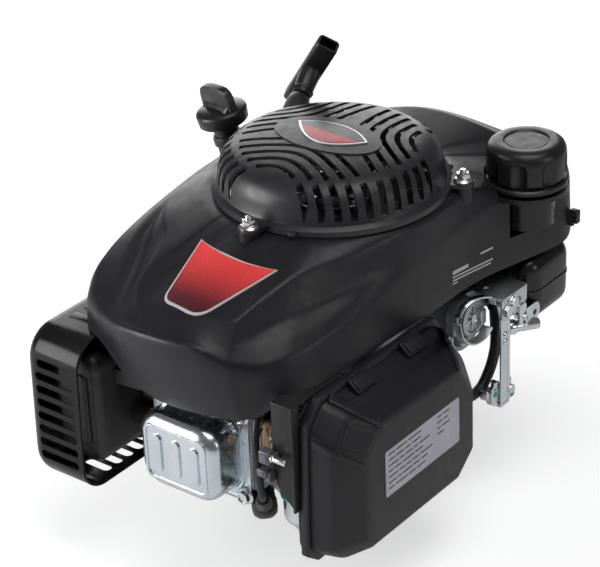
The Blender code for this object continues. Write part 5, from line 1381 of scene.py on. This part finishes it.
# -------------------------------------------------------------------- controls --
BLOCK_Y, BLOCK_Z = 50, 111  # axis of the round block, along x
LEVER_X, LEVER_Y = 117.6, 77.0
top = sheet(0.35, [(88.0, 70), (118, 68), (121, 71), (122, 103), (119, 106.5), (93, 106.5)],
            121.8, 124.0, "XY", [circle(98, 80, 2.6, 28)])
flap = sheet(0.35, [(68, 123.4), (106.5, 123.4), (106.5, 110), (102, 103.5), (92, 102.2),
                    (86, 103.6), (80, 102.0), (74, 102.0), (69, 104.5), (68, 109)],
             118.8, 121.0, "YZ", [circle(94, 113, 3.5, 28)])
bend = wire([(119.8, 68.6, 122.7), (119.8, 80, 122.7), (119.8, 106.0, 122.7)], 1.25, 5, 4)
inner_leg = sheet(0.35, [(44, 78), (90, 78), (90, 123.6), (44, 123.6), (40, 112), (40, 90)],
                  87.0, 89.2, "YZ",
                  [circle(52, 90, 3.4, 28), circle(80, 90, 3.4, 28),
                   rounded(60, 72, 98, 112, 3, 4)])
put("control_plate", gather(top, flap, bend, inner_leg), "plate_zinc", "control_bracket")

block = gather(
    box(90, 101, 32, 66, 97, 121, 2.5, 4), rod_x(88, 103.4, BLOCK_Y, BLOCK_Z, 16.5, 64, bevel=1.2),
    ring([(12.6, 102.6), (15.2, 102.6), (15.8, 103.4), (15.6, 105.2), (14.6, 105.8),
          (12.6, 105.8)], (0, BLOCK_Y, BLOCK_Z), (1, 0, 0), n=64),
    box(90, 106, 60, 68, 99, 113, 1.5, 3), rod_z(98, 41, 96, 88, 6.0, 40, bevel=0.8))
ribs = []
for degrees in (20, 80, 140):
    rib = box(102.4, 105.0, BLOCK_Y - 11.8, BLOCK_Y + 11.8, BLOCK_Z - 1.1, BLOCK_Z + 1.1, 0.7, 3)
    turn = Matrix.Rotation(math.radians(degrees), 4, "X")
    ribs.append(move(rib, Matrix.Translation((0, BLOCK_Y, BLOCK_Z)) @ turn
                     @ Matrix.Translation((0, -BLOCK_Y, -BLOCK_Z))))
put("brake_block", gather(block, *ribs), "cast")
put("block_cap", lathe([(0, 0), (4.0, 0), (4.4, 0.6), (4.2, 1.6), (2.6, 1.9), (2.2, 1.2),
                        (0, 1.2)], (104.6, BLOCK_Y, BLOCK_Z), (1, 0, 0), n=64),
    "hardware")
put("brake_shoe_band", strap([(103, 27, 116), (104, 29, 104), (105, 36, 94.5), (106, 47, 89.4),
                              (106.5, 60, 89.6), (106.5, 70, 94.5)], 9.0, 1.9, (1, 0.2, 0)),
    "plate_zinc")
cable_stop = gather(
    rod((114.5, 94, 85), (124.5, 118, 81), 5.0, 40, bevel=0.8),
    rod((112, 90, 85.5), (115.5, 96, 84.8), 6.6, 40, bevel=0.6),
    sheet(0.5, rounded(98, 124, 83.5, 101, 7.5, 8), 120.6, 122.8, "YZ",
          [circle(116.5, 92, 2.8, 24)]),
    sheet(0.4, rounded(93, 103, 88, 108, 3, 6), 120.6, 122.8, "YZ"),
    rod((110, 100, 104), (110, 109, 86), 2.4, 24))
put("cable_stop", cable_stop, "zinc")
screws = gather(rod_x(120.9, 125.0, 84, 116.5, 5.2, 6, bevel=0.5),
                ring([(2, 0), (6.6, 0), (6.8, 0.6), (6.4, 1.1), (2, 1.1)],
                     (120.9, 84, 116.5), (1, 0, 0), n=40),
                rod_x(121, 124, 101, 94, 3.6, 6, bevel=0.4))
put("plate_screws", screws, "hardware")

lever_line = [(117.4, 72.5, 119), (LEVER_X, 76, 104), (LEVER_X, LEVER_Y, 85),
              (LEVER_X, LEVER_Y, 60), (LEVER_X, 77.4, 40), (LEVER_X, 77.6, 21)]
lever = gather(strap(lever_line, 12.0, 2.0, (0, 1, 0)),
               *[wire([(x + 0.9, y + dy, z) for x, y, z in lever_line], 1.1, 4, 6)
                 for dy in (-5.6, 5.6)])
rivets = [lathe([(0, 2.2), (1.8, 2.0), (3.0, 1.0), (3.2, 0), (0, 0)], (118.6, LEVER_Y, z),
                (1, 0, 0), n=28) for z in (86.5, 80)]
pivot = [rod_x(117, 124.6, 74, 112, 2.9, 28), rod_x(121.6, 125.4, 74, 112, 5.7, 6, bevel=0.5)]
foot = [box(107, 118.6, 71, 84, 17.6, 21.0, 0.8, 3), box(104, 109, 72, 83, 18, 31, 1.0, 3)]
put("brake_arm", gather(lever, *rivets, *pivot, *foot), "zinc", "brake_lever", "brake", angle=40)
put("brake_bow", strap([(101, 31, 119), (103.5, 36, 127), (107, 46, 131.5), (110, 57, 130),
                        (111.2, 66, 125), (111.0, 70.5, 117)], 6.4, 2.0, (1, 0.15, 0.0)), "zinc")
cable_clamp = gather(box(109, 116, 62, 92, 23, 38, 1.6, 3),
                     rod_z(112.5, 70, 20, 43, 3.2, 28, bevel=0.5),
                     box(104, 112, 60, 70, 27, 36, 1.2, 3),
                     rod_x(112.5, 120.5, 86, 30, 4.6, 6, bevel=0.5),
                     rod_x(108, 118, 89, 24, 4.2, 32, bevel=0.6))
put("cable_clamp", cable_clamp, "hardware")
dots = gather(lathe([(0, 1.3), (3.0, 1.1), (3.8, 0.4), (3.8, 0), (0, 0)], (118.0, 88.2, 24.4),
                    (1, 0, 0), n=28),
              lathe([(0, 1.1), (2.2, 0.9), (2.9, 0.3), (2.9, 0), (0, 0)], (116.0, 66, 33),
                    (1, 0, 0), n=28))
put("paint_mark", dots, "green")

# governor spring, a coil of twelve turns with a hooked end and a block
SPRING_Z = 102.6
turns = []
for k in range(97):
    a = 2 * math.pi * k / 8
    turns.append((94.6 - k * 0.012 + 2.8 * math.cos(a), -13 - k * 0.30,
                  SPRING_Z + 2.8 * math.sin(a)))
spring = gather(wire([(96, -4.6, 103.6), (95.4, -8, 102.9)] + turns
                     + [(93.4, -45, SPRING_Z), (93.2, -50, SPRING_Z)], 0.6, 3, 0),
                box(91.5, 95.0, -52.5, -49.5, 96, 105, 0.6, 2))
spring = put("governor_spring", spring, "hardware", body=None)
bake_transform(spring)
governor = gather(rod_z(96, 20, 62, 104, 3.0, 28, bevel=0.4),
                  sheet(0.4, [(94.4, 22), (94.0, -8), (96, -10), (98, -8), (98.0, 18),
                              (98.0, 26), (96, 28.4), (94.0, 26)], 99, 101.6, "XY",
                        [circle(96, -4.5, 1.2, 18)]),
                  rod_z(96, 20, 101, 105.6, 5.2, 6, bevel=0.4))
put("governor_arm", governor, "zinc", "governor_lever", "governor", angle=40)

# --------------------------------------------------- castings and moving metal --
CAM_X, CAM_Y = -50.0, -33.166
CYL_Z = 76.0
VALVE_X, VALVE_DZ = -2.6, 16.0
VALVE_SIDES = (-VALVE_DZ, VALVE_DZ)
LUG_RADIUS, LUG_ANGLES = 101.6, (35, 145, 215, 325)
PARTING_Z = 29.7  # top of the sump, under its gasket
CASE_Z = 30.1


def pushrod_at(y, dz):
    t = (y + 52.0) / (-185.0 + 52.0)
    return CAM_X + 17.4 * t, y, CYL_Z + dz


def flange_bolt(x, y, z):
    """A hexagon bolt head with its washer face, standing on z."""
    return [rod_z(x, y, z + 1.4, z + 6.0, 6.2, 6, turn=x * 0.07, bevel=0.5),
            lathe([(0, -0.4), (8.0, -0.4), (8.2, 0.6), (7.4, 1.6), (0, 1.9)], (x, y, z), n=40)]


lugs = [polar(LUG_RADIUS, angle) for angle in LUG_ANGLES]
sump = lathe([(0, 0), (90.8, 0), (92, 1.2), (92, 8.8), (90.8, 10), (0, 10)], n=144)
sump = union_solid(
    sump, *[rod_z(x, y, 0, 10, 12.5, 56, bevel=1.0) for x, y in lugs],
    *[move(box(70, LUG_RADIUS, -12.5, 12.5, 0.0, 10.0, 1.0, 3), turn_z(a)) for a in LUG_ANGLES],
    lathe([(0, 9), (88, 9), (88, 24), (91.5, 25.5), (91.5, PARTING_Z), (0, PARTING_Z)], n=144),
    rod_z(CAM_X, CAM_Y, 5, PARTING_Z, 49, 112))
sump = cut_solid(sump, rod_z(0, 0, 12, 40, 82, 128), rod_z(CAM_X, CAM_Y, 12, 40, 44.8, 96),
                 ring([(27, -1), (78, -1), (76.5, 4.6), (28.5, 4.6)], n=128))
sump = union_solid(
    sump, rod_z(0, 0, 0, 17, 21, 72), rod_z(CAM_X, CAM_Y, 8, 17, 12, 56),
    *[move(box(18, 82, -2.4, 2.4, 0.5, 8, 0.9, 3), turn_z(22.5 + 45 * k)) for k in range(8)],
    ring([(50, 0.8), (54, 0.8), (54.6, 6), (49.4, 6)], n=112),
    rod_z(64, -34, 0.5, 8, 9, 48, bevel=0.8))
sump = cut_solid(sump, rod_z(0, 0, -5, 45, 13.0, 72), rod_z(0, 0, -5, 3, 17.5, 72),
                 rod_z(CAM_X, CAM_Y, 11.5, 40, 7.4, 48),
                 *[rod_z(x, y, -3, 13, 4.6, 36) for x, y in lugs], rod_z(64, -34, -2, 3, 5.2, 6))
put("sump_casting", sump, "cast", "sump", angle=32)
put("shaft_seal", ring([(13.05, 1.6), (14.2, 0.6), (17.2, 0.6), (17.45, 1.0), (17.45, 2.9),
                        (13.05, 2.9)], n=72), "rubber")
put("sump_gasket", outline(circle(0, 0, 91.8, 144), 29.72, 30.08, "XY",
                           [circle(0, 0, 82.4, 128)]), "gasket")

case = lathe([(0, CASE_Z), (91.5, CASE_Z), (91.5, 34.5), (88, 36), (88, 40), (87, 41), (0, 41)],
             n=144)
added = [rod_z(CAM_X, CAM_Y, CASE_Z, 41, 49, 112, bevel=0.8),
         rod_z(0, 0, 40, 128, 60, 112, bevel=2.0), rod_z(CAM_X, CAM_Y, 40, 128, 25, 80, bevel=2.0),
         rod_z(0, 0, 126, 164, 27, 80, bevel=0.8), rod_z(0, 0, 146, 154, 84, 128, bevel=1.0)]
added += [move(box(24, 62, -2.5, 2.5, 122, 148, 0.9, 3), turn_z(a)) for a in range(20, 380, 45)]
added += [move(box(58, 84, -2.2, 2.2, 38, 56, 0.9, 3), turn_z(a + 10)) for a in range(0, 360, 30)]
added += [rod_x(26, 86, 66, 94, 26, 80, bevel=1.6), box(48, 103, 13, 27, 64, 73, 1.4, 3),
          rod_y(0, -132, -45, CYL_Z, 41, 96)]
for k in range(5):
    y = -124.5 + k * 8.6
    added.append(rod_y(0, y, y + 2.2, CYL_Z, 55.5, 96, bevel=0.7))
added.append(box(-56, 56, -132, -126, CYL_Z - 46, CYL_Z + 46, 1.6, 3))
added += [rod((CAM_X + 0.5, -50, CYL_Z + dz), (-39.6, -129, CYL_Z + dz), 8, 48)
          for dz in VALVE_SIDES]
case = union_solid(case, *added)
case = cut_solid(
    case, rod_z(0, 0, 20, 34.4, 82, 128), rod_z(CAM_X, CAM_Y, 20, 34.4, 44.8, 96),
    rod_z(0, 0, 20, 122, 51, 96), rod_z(CAM_X, CAM_Y, 20, 112, 19.5, 64),
    rod_y(0, -140, -20, CYL_Z, 35.5, 96), rod_z(0, 0, 110, 170, 13.0, 64),
    rod_z(CAM_X, CAM_Y, 100, 120, 7.5, 48), rod_z(96, 20, 55, 80, 3.6, 32),
    *[rod(pushrod_at(-36, dz), pushrod_at(-140, dz), 4.2, 32) for dz in VALVE_SIDES],
    *[rod_y(CAM_X, -36, -70, CYL_Z + dz, 10.4, 48) for dz in VALVE_SIDES])
put("crankcase_casting", case, "cast", "crankcase", angle=32)
bolts = []
for angle in (8, 53, 98, 143, 188, 278, 323):
    bolts += flange_bolt(*polar(75, angle + 4), 41.0)
put("sump_bolts", gather(*bolts), "hardware")

head = box(-56, 56, -173, -134.2, CYL_Z - 46, CYL_Z + 46, 2.2, 3)
head = cut_solid(head, *[box(x0, x1, -168, -139, CYL_Z + 14 + i * 8.0, CYL_Z + 18.4 + i * 8.0,
                             0.7, 2) for i in range(4) for x0, x1 in ((-70, -35), (35, 70))])
head = union_solid(head, box(-21.6, -11.6, -199, -170, CYL_Z - 5, CYL_Z + 5, 1.2, 3))
bores = [rod_y(0, -146.2, -130, CYL_Z, 33.2, 80)]
for dz in VALVE_SIDES:
    bores += [rod_y(VALVE_X, -180, -140, CYL_Z + dz, 3.3, 28),
              rod(pushrod_at(-125, dz), pushrod_at(-180, dz), 4.6, 28)]
intake_z, exhaust_z = CYL_Z + VALVE_DZ, CYL_Z - VALVE_DZ
bores += [rod((VALVE_X, -155, intake_z), (80, -155, intake_z - 6), 10, 48),
          rod_y(VALVE_X, -155, -140, intake_z, 9.5, 48),
          rod_y(VALVE_X, -155, -140, exhaust_z, 8.5, 48),
          rod_x(VALVE_X, -80, -155, exhaust_z, 9, 48), rod_z(-16.6, -192, 40, 110, 3.5, 32),
          rod(plug_at(-4), plug_at(16), 6.9, 48), rod(plug_at(15.5), plug_at(70), 13.5, 56),
          box(49, 60, -176, -163, 26, 46, 1.0, 2)]
put("head_casting", cut_solid(head, *bores), "cast", "cylinder_head", angle=32)

shaft = lathe([(0, -62), (9.9, -62), (11.1, -60.8), (11.1, -3.0), (12.5, -1.6), (12.5, 64),
               (0, 64)], n=80)
shaft = union_solid(shaft, rod_z(0, 0, 88, 167, 12.5, 80),
                    rod_z(0, 0, 166.5, 198, 12.1, 80, end_radius=9.0),
                    rod_z(0, 0, 197, 219, 7.0, 64, bevel=0.6),
                    rod_z(0, -25.5, 63, 89, 14.5, 72))
for z0, z1 in ((53, 64.5), (87.5, 99)):
    shaft = union_solid(shaft, rod_z(0, -8, z0, z1, 33.5, 96, bevel=0.9),
                        rod_z(0, 0, z0 + 0.4, z1 - 0.4, 41, 96, bevel=0.9))
    shaft = cut_solid(shaft, *[box(x0, x1, -44, 4, z0 - 1, z1 + 1)
                               for x0, x1 in ((-45, -27), (27, 45))])
shaft = cut_solid(shaft, box(7.9, 13.1, -2.4, 2.4, -63, -24), rod_z(0, 0, -64, -30, 4.0, 40),
                  lathe([(0, -64), (6.2, -64), (4.0, -60.4), (0, -60.4)], n=48))
put("crank_steel", shaft, "steel", "crankshaft", "crank", angle=32)


def fan_blade(i):
    """One of the flywheel's fourteen swept blades."""
    start, sweep = 360 / 14 * i, 9
    end = start - sweep
    points = [Vector((*polar(56 + 25 * t, start + (end - start) * t * t), 0))
              for t in [k / 8 for k in range(9)]]
    rings = []
    for k, p in enumerate(points):
        along = heading(points, k)
        side = Vector((-along.y, along.x, 0)) * 1.1
        low = Vector((0, 0, 186))
        top = Vector((0, 0, 210 + 4 * min(1.0, k / 3)))
        rings.append([p + side + low, p - side + low, p - side + top, p + side + top])
    return soften(loft(rings), 0.4, 1, 40)


wheel = ring([(12.9, 168), (28, 168), (28, 176), (68, 180), (68, 171), (69, 170), (84, 170),
              (85, 171), (85, 198), (84, 199), (72, 199), (68, 190), (30, 188), (26, 198),
              (12.9, 198)], n=128)
put("flywheel_iron", gather(wheel, *[fan_blade(i) for i in range(14)]), "iron", "flywheel",
    "crank", angle=34)
put("starter_cup_steel", ring([(7.7, 198.6), (31, 198.6), (32.4, 199.6), (35, 221.2), (34.6, 222),
                               (33.6, 222), (30.9, 201.4), (29.6, 200.2), (7.7, 200.2)]),
    "zinc", "starter_cup", "crank")
NUT_ACROSS_FLATS = 22
put("flywheel_hex", cut_solid(rod_z(0, 0, 200.6, 212, NUT_ACROSS_FLATS / math.sqrt(3), 6,
                                    bevel=0.9), rod_z(0, 0, 199, 214, 7.6, 48)),
    "hardware", "flywheel_nut", "crank")

for kind, z in (("intake", intake_z), ("exhaust", exhaust_z)):
    points = []
    for i in range(4 * 20 + 1):
        a = 2 * math.pi * i / 20
        points.append((VALVE_X + 7.0 * math.cos(a), -174.3 - 8.8 * i / 80, z + 7.0 * math.sin(a)))
    coil = put(f"{kind}_valve_coil", wire(points, 0.95, 4, 0), "steel", f"valve_spring_{kind}",
               body=None)
    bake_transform(coil)

# ------------------------------------------------------------ carried nodes --
CAD_LOOKS = by_word({
    "cast": "sump crankcase cylinder_head connecting_rod piston carburettor",
    "steel": "crankshaft crank_gear wrist_pin intake_valve exhaust_valve valve_spring_intake "
             "valve_spring_exhaust rocker_intake rocker_exhaust rocker_shaft pushrod_intake "
             "pushrod_exhaust recoil_spring",
    "zinc": "starter_cup float_bowl throttle_valve control_bracket brake_lever governor_lever",
    "plain": "ignition_coil starter_pulley starter_handle fuel_cap oil_fill_tube dipstick",
    "hose": "ignition_lead starter_rope fuel_hose", "iron": "flywheel camshaft",
    "silver": "front_badge dome_badge", "gasket": "head_gasket", "ceramic": "spark_plug",
    "rubber": "spark_plug_boot", "paint": "muffler", "gloss": "muffler_guard",
    "shell": "blower_housing", "dome": "recoil_cover", "tank": "fuel_tank",
    "tan": "intake_insulator", "panel": "air_filter_base", "foam": "air_filter_element",
    "filter": "air_filter_cover", "cover_zinc": "valve_cover",
})
for name, obj in frame["nodes"].items():
    fastener = "bolt" in name or "nut" in name
    shade(obj.data, CAD_LOOKS.get(name, "hardware" if fastener else "cast_dark"), 35)

for left_over in list(TOOLS.objects):
    bpy.data.objects.remove(left_over, do_unlink=True)
SCENE.collection.children.unlink(TOOLS)
bpy.data.collections.remove(TOOLS)


# ------------------------------------- floor, world, lights, camera, in metres --
def floor_material():
    """Matt white that glows a little to the camera alone."""
    material = bpy.data.materials.new("floor_white")
    material.use_nodes = True
    tree = material.node_tree
    seen = add_node(tree, "LightPath").outputs["Is Camera Ray"]
    glow = add_node(tree, "Math", seen, 0.42, operation="MULTIPLY")
    fill(tree, tree.nodes["Principled BSDF"], Base_Color=(0.93, 0.93, 0.93, 1), Roughness=0.9,
         Specular_IOR_Level=0.1, Emission_Color=(1, 1, 1, 1), Emission_Strength=glow.outputs[0])
    return material


floor_bm = bmesh.new()
bmesh.ops.create_grid(floor_bm, x_segments=1, y_segments=1, size=9.0)
floor_mesh = bpy.data.meshes.new("floor")
floor_bm.to_mesh(floor_mesh)
floor_bm.free()
floor = bpy.data.objects.new("floor", floor_mesh)
floor.location = (0, 0, -0.0015)
SCENE.collection.objects.link(floor)
floor_mesh.materials.append(floor_material())


def studio_world():
    """White to the camera, a dim cool fill to everything else."""
    world = bpy.data.worlds.new("studio")
    world.use_nodes = True
    tree = world.node_tree
    seen = fill(tree, tree.nodes["Background"], Color=(1.0, 1.0, 1.0, 1), Strength=1.15)
    soft = add_node(tree, "Background", Color=(0.95, 0.97, 1.0, 1), Strength=0.13)
    path = add_node(tree, "LightPath")
    pick = add_node(tree, "MixShader", path.outputs["Is Camera Ray"], soft.outputs[0],
                    seen.outputs[0])
    fill(tree, tree.nodes["World Output"], pick.outputs[0])
    return world


SCENE.world = studio_world()
SCENE.view_settings.view_transform = "Standard"


def softbox(name, place, size, power, target=(0, 0, 0.2)):
    """A square area light aimed at target; power in watts."""
    light = bpy.data.lights.new(name, "AREA")
    light.shape = "RECTANGLE"
    light.size = light.size_y = size
    light.energy = power
    obj = bpy.data.objects.new(name, light)
    obj.location = place
    obj.rotation_euler = (Vector(target) - Vector(place)).to_track_quat("-Z", "Y").to_euler()
    SCENE.collection.objects.link(obj)


softbox("key_left", place=(-1.3, -1.5, 0.7), size=1.1, power=32)
softbox("backdrop", place=(-1.5, 1.7, 0.75), size=1.7, power=23, target=(0, 0, 0.25))
softbox("top", place=(0.5, -0.2, 1.8), size=1.2, power=12)
softbox("fill_right", place=(1.7, 0.2, 0.7), size=0.6, power=2.5)


def camera_matrix(azimuth, elevation, roll):
    """The camera's placing: azimuth round z, elevation over the floor, roll, in degrees."""
    a, e, r = math.radians(azimuth), math.radians(elevation), math.radians(roll)
    right = Vector((math.cos(a), math.sin(a), 0))
    up = Vector((-math.sin(a) * math.sin(e), math.cos(a) * math.sin(e), math.cos(e)))
    x_axis = right * math.cos(r) + up * math.sin(r)
    y_axis = up * math.cos(r) - right * math.sin(r)
    columns = zip(x_axis, y_axis, right.cross(up), CAMERA_PLACE)
    return Matrix((*columns, (0, 0, 0, 1)))


lens = bpy.data.cameras.new("camera")
lens.lens = 135
lens.sensor_width = 36
lens.clip_end = 20
camera = bpy.data.objects.new("camera", lens)
camera.matrix_world = camera_matrix(azimuth=38.94, elevation=28.4, roll=-2.54)
SCENE.collection.objects.link(camera)
SCENE.camera = camera
